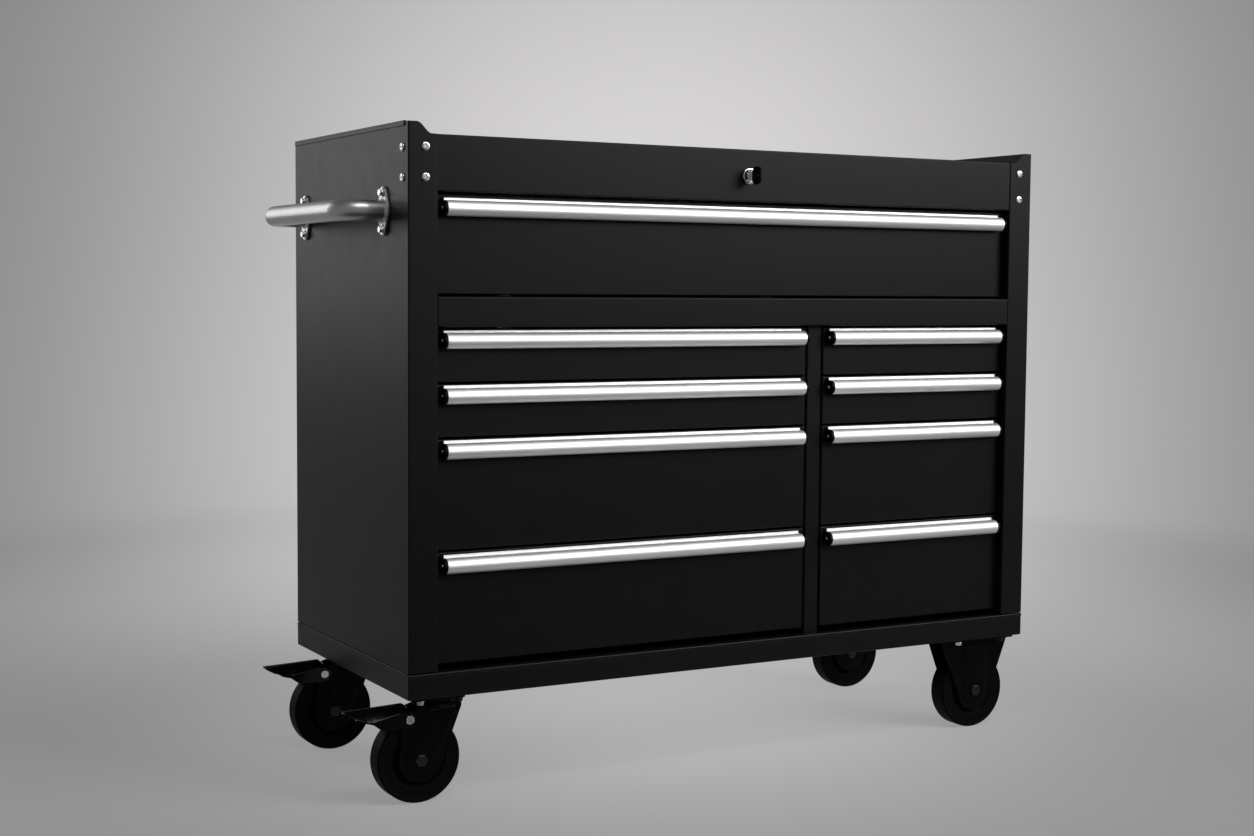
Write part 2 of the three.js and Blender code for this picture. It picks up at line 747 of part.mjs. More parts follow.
// The handle's flange: a pressed eye, round at the tube and narrow at its two bolts.
function flange(y) {
  const end = 9;
  const boltSide = HANDLE_FLANGE.height / 2 - end;
  const disc = (radius, rise, sides) =>
    rod("x", radius, -GAP - HANDLE_FLANGE.sheet, -GAP, [y, HANDLE.height + rise], sides);
  return hull(disc(HANDLE_FLANGE.width / 2, 0, 20), disc(end, boltSide, 12), disc(end, -boltSide, 12));
}

function pushHandle() {
  const sides = 12;
  const ring = new THREE.Shape(
    arc([0, 0], HANDLE.radius, 0, 360 - 360 / sides, sides - 1).map(([a, b]) => new THREE.Vector2(a, b)),
  );
  const tube = new THREE.ExtrudeGeometry(ring, {
    steps: 20,
    extrudePath: new HandlePath(),
    bevelEnabled: false,
  });
  tube.translate(0, 0, HANDLE.height);
  const flanges = [HANDLE.front, HANDLE.rear].map(flange);
  const holes = handleBoltPlaces().map((place) => rod("x", BOLT_RADIUS + GAP, -10, 1, place));
  return cut(join(solid(tube), ...flanges), ...holes);
}

// Two hex bolts through the handle's flange and the side panel, screwed into one backing plate.
function handleBolts(y) {
  const headBack = -HANDLE_FLANGE.sheet - 2 * GAP;
  const plateFront = SHEET + GAP;
  const places = [-1, 1].map((side) => [y, HANDLE.height + (side * HANDLE_BOLT_SPACING) / 2]);
  const bolts = places.map((place) =>
    join(
      rod("x", 6, headBack - 4.5, headBack - 1, place, 6),
      rod("x", 7, headBack - 1.2, headBack, place, 12),
      rod("x", BOLT_RADIUS, headBack - 0.5, plateFront + 4, place, 8),
    ),
  );
  const halfHeight = HANDLE_FLANGE.height / 2;
  const plate = block(
    plateFront,
    plateFront + 2,
    y - 13,
    y + 13,
    HANDLE.height - halfHeight,
    HANDLE.height + halfHeight,
  );
  return join(plate, ...bolts);
}

// ---------------------------------------------------------------- casters
// Each caster is drawn round its own origin, at the base, over the middle of its axle.

const CASTER_PLATE_TOP = -GAP;
const CASTER_PLATE_UNDER = CASTER_PLATE_TOP - FORK_SHEET;
const RACE_UNDER = -11.7;
const CROWN_TOP = RACE_UNDER - GAP;
const CROWN_UNDER = CROWN_TOP - FORK_SHEET;
const CROWN_RADIUS = 29;
const LOBE_RADIUS = 33; // of a leg round the axle

function mountingPlate(length, x) {
  const corner = 8;
  const halfX = length / 2 - corner;
  const halfY = PLATE_DEPTH / 2 - corner;
  const outline = [
    ...arc([x + halfX, halfY], corner, 0, 90, 2),
    ...arc([x - halfX, halfY], corner, 90, 180, 2),
    ...arc([x - halfX, -halfY], corner, 180, 270, 2),
    ...arc([x + halfX, -halfY], corner, 270, 360, 2),
  ];
  return prism("z", outline, CASTER_PLATE_UNDER, CASTER_PLATE_TOP);
}

// The swivel caster's plate carries the upper bearing race and the kingpin.
function swivelPlate() {
  const axis = [SWIVEL_TRAIL, 0];
  const headTop = CROWN_UNDER - GAP;
  return join(
    mountingPlate(SWIVEL_PLATE_LENGTH, SWIVEL_TRAIL),
    rod("z", CROWN_RADIUS, RACE_UNDER, CASTER_PLATE_UNDER + 0.5, axis, 24),
    rod("z", 6, headTop - 1, RACE_UNDER + 0.5, axis, 12),
    rod("z", 10, headTop - 6, headTop, axis, 6),
  );
}

// Two legs beside the wheel, each the convex outline round a list of outlines on (X, Z).
function forkLegs(...outlines) {
  const outside = FORK_OUTSIDE / 2;
  const inside = outside - FORK_SHEET;
  const leg = (from, to) => hull(...outlines.map((outline) => prism("y", outline, from, to)));
  return [leg(inside, outside), leg(-outside, -inside)];
}

const lobe = (centre) => arc(centre, LOBE_RADIUS, 0, 345, 23);

function swivelFork() {
  const axis = [SWIVEL_TRAIL, 0];
  const axle = [0, -AXLE_DROP];
  const shoulder = [
    [4, CROWN_UNDER],
    [64, -18.4],
    [64, CROWN_TOP],
    [16, CROWN_TOP],
  ];
  const outside = FORK_OUTSIDE / 2;
  const crown = join(
    block(4, 64, -outside, outside, CROWN_UNDER, CROWN_TOP),
    rod("z", CROWN_RADIUS, CROWN_UNDER, CROWN_TOP, axis, 24),
  );
  const pivot = [PEDAL_PIVOT.x, PEDAL_PIVOT.z];
  const headFace = PEDAL_WIDTH / 2 + GAP;
  const studs = [-1, 1].flatMap((side) => [
    rod("y", 4, ...sorted(side * (outside - 1), side * (headFace + 1)), pivot, 10),
    rod("y", 6.5, ...sorted(side * headFace, side * (headFace + 2.5)), pivot, 10),
  ]);
  const legs = forkLegs(shoulder, arc(pivot, 9, 0, 330, 11), lobe(axle));
  return cut(
    join(crown, ...legs, ...studs),
    rod("z", 6 + GAP, CROWN_UNDER - 1, CROWN_TOP + 1, axis, 12),
    rod("y", AXLE_RADIUS + GAP, -outside - 1, outside + 1, axle),
  );
}

function sorted(a, b) {
  return [Math.min(a, b), Math.max(a, b)];
}

function rigidFork() {
  const axle = [0, -AXLE_DROP];
  const outside = FORK_OUTSIDE / 2;
  const half = RIGID_PLATE_LENGTH / 2 - 1.5;
  const shoulder = [
    [-half, CASTER_PLATE_UNDER - 2],
    [half, CASTER_PLATE_UNDER - 2],
    [half, CASTER_PLATE_UNDER + 0.5],
    [-half, CASTER_PLATE_UNDER + 0.5],
  ];
  return cut(
    join(mountingPlate(RIGID_PLATE_LENGTH, 0), ...forkLegs(shoulder, lobe(axle))),
    rod("y", AXLE_RADIUS + GAP, -outside - 1, outside + 1, axle),
  );
}

function axleBolt() {
  const outside = FORK_OUTSIDE / 2 + GAP;
  return join(
    rod("y", AXLE_RADIUS, -outside - 3, outside + 3, [0, 0]),
    rod("y", 10, -outside - 5, -outside, [0, 0], 6),
    rod("y", 10, outside, outside + 5, [0, 0], 6),
  );
}

function tyre() {
  const segments = 24;
  const flat = 1 / Math.cos(Math.PI / segments);
  const half = WHEEL_WIDTH / 2;
  const shoulder = 3.5;
  const profile = [
    [HUB_RADIUS, -half],
    [WHEEL_RADIUS - shoulder, -half],
    [WHEEL_RADIUS, -half + shoulder],
    [WHEEL_RADIUS, half - shoulder],
    [WHEEL_RADIUS - shoulder, half],
    [HUB_RADIUS, half],
  ];
  return turned(
    profile.map(([radius, y]) => [radius * flat, y]),
    segments,
  );
}

function hub() {
  const rim = HUB_RADIUS - 0.6;
  const bore = AXLE_RADIUS + 0.6;
  const boss = 14;
  const bossEnd = FORK_OUTSIDE / 2 - FORK_SHEET - 0.5;
  const profile = [
    [bore, -bossEnd],
    [boss, -bossEnd],
    [boss, -8],
    [rim - 4, -8],
    [rim, -14],
    [rim, 14],
    [rim - 4, 8],
    [boss, 8],
    [boss, bossEnd],
    [bore, bossEnd],
  ];
  return turned(profile, 16);
}

// Height of the pedal's ridge, which falls a little towards its tip.
const pedalTop = (x) => -11 + (x + 20) * (3 / 89);

// The pedal is a beaked cap over the wheel: a ridged top, a skirt all round and a shoe for the tyre.
function brakePedal() {
  const half = PEDAL_WIDTH / 2;
  const wall = 2;
  const bend = -69;
  const rearEnd = 6;
  const plan = (inset) => {
    const tipHalf = 9 - inset * 0.6;
    const side = half - inset;
    const tip = PEDAL_TIP + inset;
    const rear = -4 + inset;
    return [
      [rear, -side],
      [rear, side],
      [bend, side],
      [(bend + tip) / 2 - 6, side - 5],
      [tip + 3, tipHalf],
      [tip, tipHalf - 4],
      [tip, -tipHalf + 4],
      [tip + 3, -tipHalf],
      [(bend + tip) / 2 - 6, -side + 5],
      [bend, -side],
    ];
  };
  const sideView = [
    [-20, pedalTop(-20)],
    [PEDAL_TIP - 1, pedalTop(PEDAL_TIP - 1)],
    [PEDAL_TIP - 1, pedalTop(PEDAL_TIP) - 2],
    [-85, -30],
    [-72, -33],
    [-60, -41],
    [-50, -43],
    ...arc([PEDAL_PIVOT.x, PEDAL_PIVOT.z], 12, 250, 370, 5),
  ];
  const roof = (drop) => [
    [-half, -70],
    [half, -70],
    [half, pedalTop(-20) - PEDAL_ROOF_FALL - drop],
    [PEDAL_RIDGE, pedalTop(-20) - drop],
    [-PEDAL_RIDGE, pedalTop(-20) - drop],
    [-half, pedalTop(-20) - PEDAL_ROOF_FALL - drop],
  ];
  const belowRoof = (drop) => prism("x", roof(drop), PEDAL_TIP - 1, rearEnd);
  const outer = prism("z", plan(0).reverse(), -60, 0)
    .intersect(prism("y", sideView, -half, half))
    .intersect(belowRoof(0));
  const hollowView = [
    [rearEnd, pedalTop(rearEnd) - wall],
    [PEDAL_TIP, pedalTop(PEDAL_TIP) - wall],
    [PEDAL_TIP, -70],
    [rearEnd, -70],
  ];
  const hollow = prism("z", inner(plan, rearEnd), -70, 0)
    .intersect(prism("y", hollowView, -half, half))
    .intersect(belowRoof(wall));
  const shoe = block(-51, -47, -14, 14, -40, pedalTop(-49) - 1);
  return cut(
    join(outer.subtract(hollow), shoe),
    rod("y", 4 + GAP, -half - 1, half + 1, [PEDAL_PIVOT.x, PEDAL_PIVOT.z], 12),
  );
}

// The cap's hollow is the same plan, one wall smaller, and runs out at the rear.
function inner(plan, rearEnd) {
  const wall = 2.1;
  return plan(wall)
    .map(([x, y]) => [x > PEDAL_PIVOT.x ? rearEnd : x, y])
    .reverse();
}

function swivelCaster(place) {
  return [
    piece(place + "_caster_plate", swivelPlate(), blackPaint),
    piece(place + "_caster_fork", swivelFork(), blackPaint),
    piece(place + "_brake_pedal", brakePedal(), blackPaint),
    ...wheelPieces(place),
  ];
}

function rigidCaster(place) {
  return [piece(place + "_caster_bracket", rigidFork(), blackPaint), ...wheelPieces(place)];
}

function wheelPieces(place) {
  return [
    groupAt(
      0,
      0,
      -AXLE_DROP,
      piece(place + "_tyre", tyre(), tyreRubber),
      piece(place + "_hub", hub(), hubPlastic),
      piece(place + "_axle", axleBolt(), zinc),
    ),
  ];
}

// ---------------------------------------------------------------- assembly

function cabinetPieces() {
  const dividerMirror = DIVIDER_LEFT + DIVIDER_RIGHT;
  const dividerRack = () => slideRack(RACK_FACE_DIVIDER_LEFT, -1, ROWS, SLIDE_FRONT - 10, SLIDE_BACK);
  return [
    piece("left_side_panel", leftSidePanel(), blackPaint),
    mirrored(WIDTH, piece("right_side_panel", sidePanel(), blackPaint)),
    piece("back_panel", backPanel(), blackPaint),
    piece("base_pan", basePan(), blackPaint),
    piece("left_caster_channel", casterChannel(SWIVEL_AXLE_X + SWIVEL_TRAIL), blackPaint),
    piece("right_caster_channel", casterChannel(RIGID_AXLE_X), blackPaint),
    piece("top_tray", topTray(), blackPaint),
    piece("top_fascia", topFascia(), blackPaint),
    piece("middle_rail", middleRail(), blackPaint),
    piece("centre_divider", centreDivider(), blackPaint),
    piece("left_slide_rack", sideSlideRack(), zinc),
    mirrored(WIDTH, piece("right_slide_rack", sideSlideRack(), zinc)),
    piece("divider_left_slide_rack", dividerRack(), zinc),
    mirrored(dividerMirror, piece("divider_right_slide_rack", dividerRack(), zinc)),
  ];
}

function drawerPieces() {
  const places = [
    ["top_drawer", BANKS.top, TOP_ROW],
    ...ROWS.map((row, i) => ["left_drawer_" + (i + 1), BANKS.left, row]),
    ...ROWS.map((row, i) => ["right_drawer_" + (i + 1), BANKS.right, row]),
  ];
  return places.flatMap(([name, bank, row]) => [
    piece(name + "_tray", drawerTray(bank, row), blackPaint),
    piece(name + "_pull", drawerPull(bank, row), aluminium),
  ]);
}

function lockPieces() {
  return [
    piece("lock_housing", lockHousing(), chrome),
    piece("lock_plug", lockPlug(), chrome),
    piece("lock_key", lockKey(), keyPlastic),
    piece("lock_bar", lockBar(), zinc),
  ];
}

function handlePieces() {
  return [
    piece("push_handle", pushHandle(), chrome),
    piece("handle_front_bolts", handleBolts(HANDLE.front), zinc),
    piece("handle_rear_bolts", handleBolts(HANDLE.rear), zinc),
  ];
}

function casterPieces() {
  return [
    groupAt(SWIVEL_AXLE_X, CASTER_FRONT_Y, 0, ...swivelCaster("front_left")),
    groupAt(SWIVEL_AXLE_X, CASTER_REAR_Y, 0, ...swivelCaster("rear_left")),
    groupAt(RIGID_AXLE_X, CASTER_FRONT_Y, 0, ...rigidCaster("front_right")),
    groupAt(RIGID_AXLE_X, CASTER_REAR_Y, 0, ...rigidCaster("rear_right")),
  ];
}

// The outline runs from the pedals' tips to the right rim, and from the key's head to the back flanges.
const outline = {
  left: SWIVEL_AXLE_X + PEDAL_TIP,
  right: WIDTH + GAP + SHEET,
  front: -32,
  back: DEPTH,
};

const group = groupAt(
  -(outline.left + outline.right) / 2,
  -(outline.front + outline.back) / 2,
  FLOOR_DROP,
  ...cabinetPieces(),
  ...drawerPieces(),
  ...lockPieces(),
  ...handlePieces(),
  ...casterPieces(),
);

export default group;
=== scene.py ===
"""Looks of the rolling tool chest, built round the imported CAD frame.

Pieces are drawn in millimetres from the cabinet's left, front, lower corner (the low corner of the base
pan), with X to the right, Y to the back and Z up, and are then set into the frame in metres.
"""

import math

import bmesh
import bpy
from mathutils import Matrix, Vector


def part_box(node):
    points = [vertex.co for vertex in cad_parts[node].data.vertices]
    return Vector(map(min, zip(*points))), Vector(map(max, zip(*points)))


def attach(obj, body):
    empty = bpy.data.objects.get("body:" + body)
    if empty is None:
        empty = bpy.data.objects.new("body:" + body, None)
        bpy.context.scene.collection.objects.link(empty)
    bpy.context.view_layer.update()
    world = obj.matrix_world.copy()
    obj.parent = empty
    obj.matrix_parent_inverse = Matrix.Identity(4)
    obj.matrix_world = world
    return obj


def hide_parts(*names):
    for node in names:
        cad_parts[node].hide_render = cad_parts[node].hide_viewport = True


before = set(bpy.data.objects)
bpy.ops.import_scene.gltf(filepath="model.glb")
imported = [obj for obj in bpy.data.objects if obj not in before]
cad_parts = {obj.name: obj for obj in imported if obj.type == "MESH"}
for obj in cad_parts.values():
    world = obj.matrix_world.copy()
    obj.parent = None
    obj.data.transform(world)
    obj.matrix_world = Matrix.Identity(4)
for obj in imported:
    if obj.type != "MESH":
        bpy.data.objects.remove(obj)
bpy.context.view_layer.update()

# ------------------------------------------------------------------ places from the frame

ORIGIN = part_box("base_pan")[0]


def extent(node):
    """A CAD node's (low, high) along X, Y and Z, in millimetres from the cabinet's corner."""
    low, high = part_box(node)
    return [((low[i] - ORIGIN[i]) * 1000, (high[i] - ORIGIN[i]) * 1000) for i in range(3)]


def middle(node):
    return [(low + high) / 2 for low, high in extent(node)]


SHEET = 1.2
WIDTH, DEPTH = (high for low, high in extent("base_pan")[:2])
POST = extent("left_side_panel")[0][1]
PANEL_FOOT, PANEL_TOP = extent("left_side_panel")[2]
HEADER_BOTTOM, HEADER_TOP = extent("top_fascia")[2]
LOCK_X, _, LOCK_Z = middle("lock_housing")
HANDLE_Z = middle("push_handle")[2]
HANDLE_OUT = extent("push_handle")[0][0]

# ------------------------------------------------------------------ mesh helpers


def arc(centre, radius, start, end, steps):
    """Points on an arc, with its angles in degrees."""
    points = []
    for i in range(steps + 1):
        angle = math.radians(start + (end - start) * i / steps)
        points.append((centre[0] + radius * math.cos(angle), centre[1] + radius * math.sin(angle)))
    return points


def circle(centre, radius, count):
    """Points spread evenly round a whole circle."""
    return arc(centre, radius, 0, 360 - 360 / count, count - 1)


def placed(axis, a, b, along):
    """A point drawn on (Y, Z), (X, Z) or (X, Y), for the X, Y or Z axis."""
    return {"x": (along, a, b), "y": (a, along, b), "z": (a, b, along)}[axis]


def skin(bm, one, two):
    """Faces between two closed rings of corners."""
    for i in range(len(one)):
        j = (i + 1) % len(one)
        bm.faces.new((one[i], one[j], two[j], two[i]))


def capped(bm, low, high):
    """A solid between two rings of corners, closed at both ends."""
    bm.faces.new(low)
    bm.faces.new(high)
    skin(bm, low, high)


def prism(bm, axis, outline, start, end):
    """A solid with an outline drawn as for placed(), from start to end along its axis."""
    low = [bm.verts.new(placed(axis, a, b, start)) for a, b in outline]
    high = [bm.verts.new(placed(axis, a, b, end)) for a, b in outline]
    capped(bm, low, high)


def block(bm, x0, x1, y0, y1, z0, z1):
    prism(bm, "z", [(x0, y0), (x1, y0), (x1, y1), (x0, y1)], z0, z1)


def turned(bm, axis, profile, centre, segments=48):
    """A ring or solid of revolution. Its profile is (radius, place along the axis), closed on itself."""
    rings = []
    for radius, along in profile:
        if radius < 1e-6:
            rings.append([bm.verts.new(placed(axis, *centre, along))])
            continue
        ring = circle(centre, radius, segments)
        rings.append([bm.verts.new(placed(axis, a, b, along)) for a, b in ring])
    pairs = list(zip(rings, rings[1:]))
    if profile[0][0] > 1e-6 or profile[-1][0] > 1e-6:
        pairs.append((rings[-1], rings[0]))
    for one, two in pairs:
        for i in range(segments):
            j = (i + 1) % segments
            corners = [one[i % len(one)], one[j % len(one)], two[j % len(two)], two[i % len(two)]]
            unique = list(dict.fromkeys(corners))
            if len(unique) > 2:
                bm.faces.new(unique)


def rod(bm, axis, radius, start, end, centre, segments=24, chamfer=0.0):
    profile = [(0, start), (radius - chamfer, start), (radius, start + chamfer)]
    profile += [(radius, end - chamfer), (radius - chamfer, end), (0, end)]
    clean = [p for i, p in enumerate(profile) if i == 0 or p != profile[i - 1]]
    turned(bm, axis, clean, centre, segments)


def tube(bm, path, radius, sides=24):
    """A round bar along a list of points, with flat ends."""
    points = [Vector(p) for p in path]
    rings = []
    normal = None
    for i, point in enumerate(points):
        ahead = points[min(i + 1, len(points) - 1)] - points[max(i - 1, 0)]
        tangent = ahead.normalized()
        if normal is None:
            normal = tangent.orthogonal().normalized()
        normal = (normal - tangent * normal.dot(tangent)).normalized()
        side = tangent.cross(normal)
        ring = []
        for a, b in circle((0, 0), radius, sides):
            ring.append(bm.verts.new(point + normal * a + side * b))
        rings.append(ring)
    bm.faces.new(rings[0])
    bm.faces.new(rings[-1])
    for one, two in zip(rings, rings[1:]):
        skin(bm, one, two)


def rounded(points, radii, steps=4):
    """An open line of points with each inner corner rounded by its own radius."""
    out = [points[0]]
    for before, corner, after, radius in zip(points, points[1:], points[2:], radii):
        c = Vector(corner)
        one = (Vector(before) - c).normalized()
        two = (Vector(after) - c).normalized()
        half = one.angle(two) / 2
        reach = radius / math.tan(half)
        centre = c + (one + two).normalized() * (radius / math.sin(half))
        start = c + one * reach - centre
        turn = start.angle_signed(c + two * reach - centre)
        for i in range(steps + 1):
            point = centre + Matrix.Rotation(-turn * i / steps, 2) @ start
            out.append((point.x, point.y))
    out.append(points[-1])
    return out


def beside(points, distance):
    """The line shifted to its left by a distance, with mitred corners."""
    out = []
    for i, point in enumerate(points):
        p = Vector(point)
        ends = []
        if i > 0:
            ends.append((p - Vector(points[i - 1])).normalized())
        if i < len(points) - 1:
            ends.append((Vector(points[i + 1]) - p).normalized())
        normals = [Vector((-d.y, d.x)) for d in ends]
        if len(normals) == 1:
            shift = normals[0] * distance
        else:
            both = normals[0] + normals[1]
            shift = both * (2 * distance / both.length_squared)
        out.append((p.x + shift.x, p.y + shift.y))
    return out


def folds(spine, thickness, radius):
    """Both faces of a folded sheet, point for point. The sheet lies to the left of the spine."""
    near, far = [], []
    for i in range(1, len(spine) - 1):
        a = Vector(spine[i]) - Vector(spine[i - 1])
        b = Vector(spine[i + 1]) - Vector(spine[i])
        left_turn = a.x * b.y - a.y * b.x > 0
        near.append(radius if left_turn else radius - thickness)
        far.append(radius - thickness if left_turn else radius)
    return rounded(spine, near), rounded(beside(spine, thickness), far)


def sheet_faces(bm, one, two):
    """Closes a folded sheet. Each of its two faces is given as (low corners, high corners)."""
    low1, high1 = one
    low2, high2 = two
    for i in range(len(low1) - 1):
        bm.faces.new((low1[i], low1[i + 1], high1[i + 1], high1[i]))
        bm.faces.new((low2[i + 1], low2[i], high2[i], high2[i + 1]))
        bm.faces.new((high1[i], high1[i + 1], high2[i + 1], high2[i]))
        bm.faces.new((low1[i + 1], low1[i], low2[i], low2[i + 1]))
    for i in (0, len(low1) - 1):
        bm.faces.new((low1[i], high1[i], high2[i], low2[i]))


def sheet(bm, axis, spine, start, end, radius=2.2):
    """A folded sheet along an axis, with its thickness to the left of the spine."""
    faces = []
    for line in folds(spine, SHEET, radius):
        low = [bm.verts.new(placed(axis, a, b, start)) for a, b in line]
        high = [bm.verts.new(placed(axis, a, b, end)) for a, b in line]
        faces.append((low, high))
    sheet_faces(bm, *faces)


def pan(bounds, open_side, radius):
    """A five-sided box with rounded folds, to be thickened inwards. open_side is an axis and a sign."""
    bm = bmesh.new()
    (x0, x1), (y0, y1), (z0, z1) = bounds
    block(bm, x0, x1, y0, y1, z0, z1)
    bmesh.ops.recalc_face_normals(bm, faces=bm.faces)
    direction = Vector([open_side[1] if "xyz"[i] == open_side[0] else 0 for i in range(3)])
    opened = [f for f in bm.faces if f.normal.dot(direction) > 0.9]
    bmesh.ops.delete(bm, geom=opened, context="FACES_ONLY")
    inner = [e for e in bm.edges if len(e.link_faces) == 2]
    bmesh.ops.bevel(bm, geom=inner, offset=radius, segments=3, profile=0.5, affect="EDGES")
    return bm


def make(name, bm, body, material, replaces=(), bevel=0.0, thickness=0.0, sharp=35):
    """Turns a mesh drawn in millimetres into a finished piece that rides on its body."""
    if not thickness:
        bmesh.ops.recalc_face_normals(bm, faces=bm.faces)
    bm.transform(Matrix.Translation(ORIGIN) @ Matrix.Scale(0.001, 4))
    mesh = bpy.data.meshes.new(name)
    bm.to_mesh(mesh)
    bm.free()
    mesh.shade_smooth()
    mesh.set_sharp_from_angle(angle=math.radians(sharp))
    obj = bpy.data.objects.new(name, mesh)
    bpy.context.scene.collection.objects.link(obj)
    mesh.materials.append(material)
    if thickness:
        solidify = obj.modifiers.new("thickness", "SOLIDIFY")
        solidify.thickness = thickness / 1000
        solidify.offset = -1
    if bevel:
        edges = obj.modifiers.new("edges", "BEVEL")
        edges.width = bevel / 1000
        edges.segments = 2
        edges.limit_method = "ANGLE"
        edges.angle_limit = math.radians(sharp)
    flat = obj.modifiers.new("flat_faces", "WEIGHTED_NORMAL")
    flat.keep_sharp = True
    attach(obj, body)
    if replaces:
        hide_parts(*replaces)
    return obj


def carve(obj, tool_bm):
    """Cuts a tool, drawn in millimetres, out of a piece's own mesh, ahead of its modifiers."""
    bmesh.ops.recalc_face_normals(tool_bm, faces=tool_bm.faces)
    tool_bm.transform(Matrix.Translation(ORIGIN) @ Matrix.Scale(0.001, 4))
    mesh = bpy.data.meshes.new("tool")
    tool_bm.to_mesh(mesh)
    tool_bm.free()
    tool = bpy.data.objects.new("tool", mesh)
    bpy.context.scene.collection.objects.link(tool)
    kept = list(obj.modifiers)
    modifier = obj.modifiers.new("cut", "BOOLEAN")
    modifier.object = tool
    modifier.solver = "EXACT"
    obj.modifiers.move(len(kept), 0)
    for other in kept:
        other.show_viewport = False
    evaluated = obj.evaluated_get(bpy.context.evaluated_depsgraph_get())
    carved = bpy.data.meshes.new_from_object(evaluated)
    obj.modifiers.remove(modifier)
    for other in kept:
        other.show_viewport = True
    obj.data = carved
    carved.shade_smooth()
    carved.set_sharp_from_angle(angle=math.radians(35))
    bpy.data.objects.remove(tool)


# ------------------------------------------------------------------ materials


def noise_node(tree, coords, scale, detail, stretch=None):
    texture = tree.nodes.new("ShaderNodeTexNoise")
    texture.inputs["Scale"].default_value = scale
    texture.inputs["Detail"].default_value = detail
    if stretch:
        mapping = tree.nodes.new("ShaderNodeMapping")
        mapping.inputs["Scale"].default_value = stretch
        tree.links.new(coords, mapping.inputs["Vector"])
        coords = mapping.outputs["Vector"]
    tree.links.new(coords, texture.inputs["Vector"])
    return texture.outputs["Fac"]


def ranged(tree, value, low, high):
    """A noise value spread over a range."""
    spread = tree.nodes.new("ShaderNodeMapRange")
    spread.inputs["From Min"].default_value = 0.3
    spread.inputs["From Max"].default_value = 0.7
    spread.inputs["To Min"].default_value = low
    spread.inputs["To Max"].default_value = high
    tree.links.new(value, spread.inputs["Value"])
    return spread.outputs["Result"]


def surface(name, dark, light, rough, metallic=0.0, blotch=6.0, bumps=(), stretch=None, **sockets):
    """A finish whose colour and roughness drift with noise. Each bump is (scale, detail, height)."""
    material = bpy.data.materials.new(name)
    material.use_nodes = True
    tree = material.node_tree
    shader = tree.nodes["Principled BSDF"]
    shader.inputs["Metallic"].default_value = metallic
    for socket, value in sockets.items():
        shader.inputs[socket.replace("_", " ")].default_value = value
    coords = tree.nodes.new("ShaderNodeTexCoord").outputs["Object"]
    drift = noise_node(tree, coords, blotch, 3, stretch)
    ramp = tree.nodes.new("ShaderNodeMix")
    ramp.data_type = "RGBA"
    ramp.inputs["A"].default_value = (*dark, 1)
    ramp.inputs["B"].default_value = (*light, 1)
    tree.links.new(ranged(tree, drift, 0, 1), ramp.inputs["Factor"])
    tree.links.new(ramp.outputs["Result"], shader.inputs["Base Color"])
    fine = noise_node(tree, coords, blotch * 9, 4, stretch)
    tree.links.new(ranged(tree, fine, *rough), shader.inputs["Roughness"])
    normal = None
    for scale, detail, height in bumps:
        bump = tree.nodes.new("ShaderNodeBump")
        bump.inputs["Strength"].default_value = 1.0
        bump.inputs["Distance"].default_value = height
        tree.links.new(noise_node(tree, coords, scale, detail, stretch), bump.inputs["Height"])
        if normal:
            tree.links.new(normal, bump.inputs["Normal"])
        normal = bump.outputs["Normal"]
    if normal:
        tree.links.new(normal, shader.inputs["Normal"])
    return material


def grey(value, tint=0.0):
    """A grey, with a share more blue."""
    return (value, value, value * (1 + tint))


# The blacks show mostly as reflections of the pale studio, so their specular is low.
PAINT = surface(
    "black_powder_coat",
    grey(0.0022, 0.03),
    grey(0.0030, 0.03),
    (0.38, 0.41),
    blotch=4.0,
    bumps=((1500, 2, 0.000006),),
    Specular_IOR_Level=0.145,
)
CASTER_PAINT = surface(
    "black_caster_paint",
    grey(0.0008, 0.04),
    grey(0.0014, 0.04),
    (0.30, 0.42),
    blotch=20.0,
    bumps=((700, 2, 0.00001),),
    Specular_IOR_Level=0.05,
)
GLOSS_PAINT = surface(
    "black_gloss_paint",
    grey(0.0010, 0.04),
    grey(0.0016, 0.04),
    (0.13, 0.19),
    blotch=20.0,
    bumps=((500, 2, 0.00001),),
    Specular_IOR_Level=0.20,
)
ALUMINIUM = surface(
    "brushed_aluminium",
    grey(0.78),
    grey(0.82),
    (0.48, 0.54),
    metallic=1.0,
    blotch=60.0,
    stretch=(0.02, 1.0, 1.0),
    bumps=((2600, 3, 0.000003),),
)
SATIN_CHROME = surface(
    "satin_chrome",
    grey(0.50, 0.01),
    grey(0.55, 0.01),
    (0.34, 0.42),
    metallic=1.0,
    blotch=25.0,
    bumps=((1500, 3, 0.000004),),
)
CHROME = surface(
    "bright_chrome",
    grey(0.7, 0.02),
    grey(0.78, 0.02),
    (0.06, 0.12),
    metallic=1.0,
    blotch=60.0,
    bumps=((900, 2, 0.000003),),
)
ZINC = surface(
    "zinc_plate",
    (0.66, 0.67, 0.68),
    (0.80, 0.80, 0.79),
    (0.20, 0.32),
    metallic=1.0,
    blotch=90.0,
    bumps=((1200, 3, 0.000008),),
)
# Dark zinc for the axle bolts; on the mounting plates' right-hand bolts it is painted shade.
DARK_ZINC_AND_PAINTED_SHADE = surface(
    "dark_zinc_and_painted_shade",
    grey(0.006),
    grey(0.010),
    (0.35, 0.45),
    metallic=0.6,
    blotch=60.0,
    bumps=((900, 4, 0.00002),),
)
RUBBER = surface(
    "tyre_rubber",
    grey(0.0010),
    grey(0.0018),
    (0.48, 0.62),
    blotch=35.0,
    bumps=((1400, 4, 0.00003), (120, 2, 0.00004)),
    Specular_IOR_Level=0.04,
)
PLASTIC = surface(
    "black_plastic",
    grey(0.0010),
    grey(0.0018),
    (0.3, 0.44),
    blotch=40.0,
    bumps=((1600, 3, 0.000015),),
    Specular_IOR_Level=0.06,
)

# ------------------------------------------------------------------ cabinet

EAR_FLAT = 13
EAR_END = 36


def post_top(x):
    """Height of a post's front, which falls in a wave from the ear to the fascia."""
    share = min(1, max(0, (x - EAR_FLAT) / (EAR_END - EAR_FLAT)))
    return HEADER_TOP + (PANEL_TOP - HEADER_TOP) * (1 + math.cos(math.pi * share)) / 2


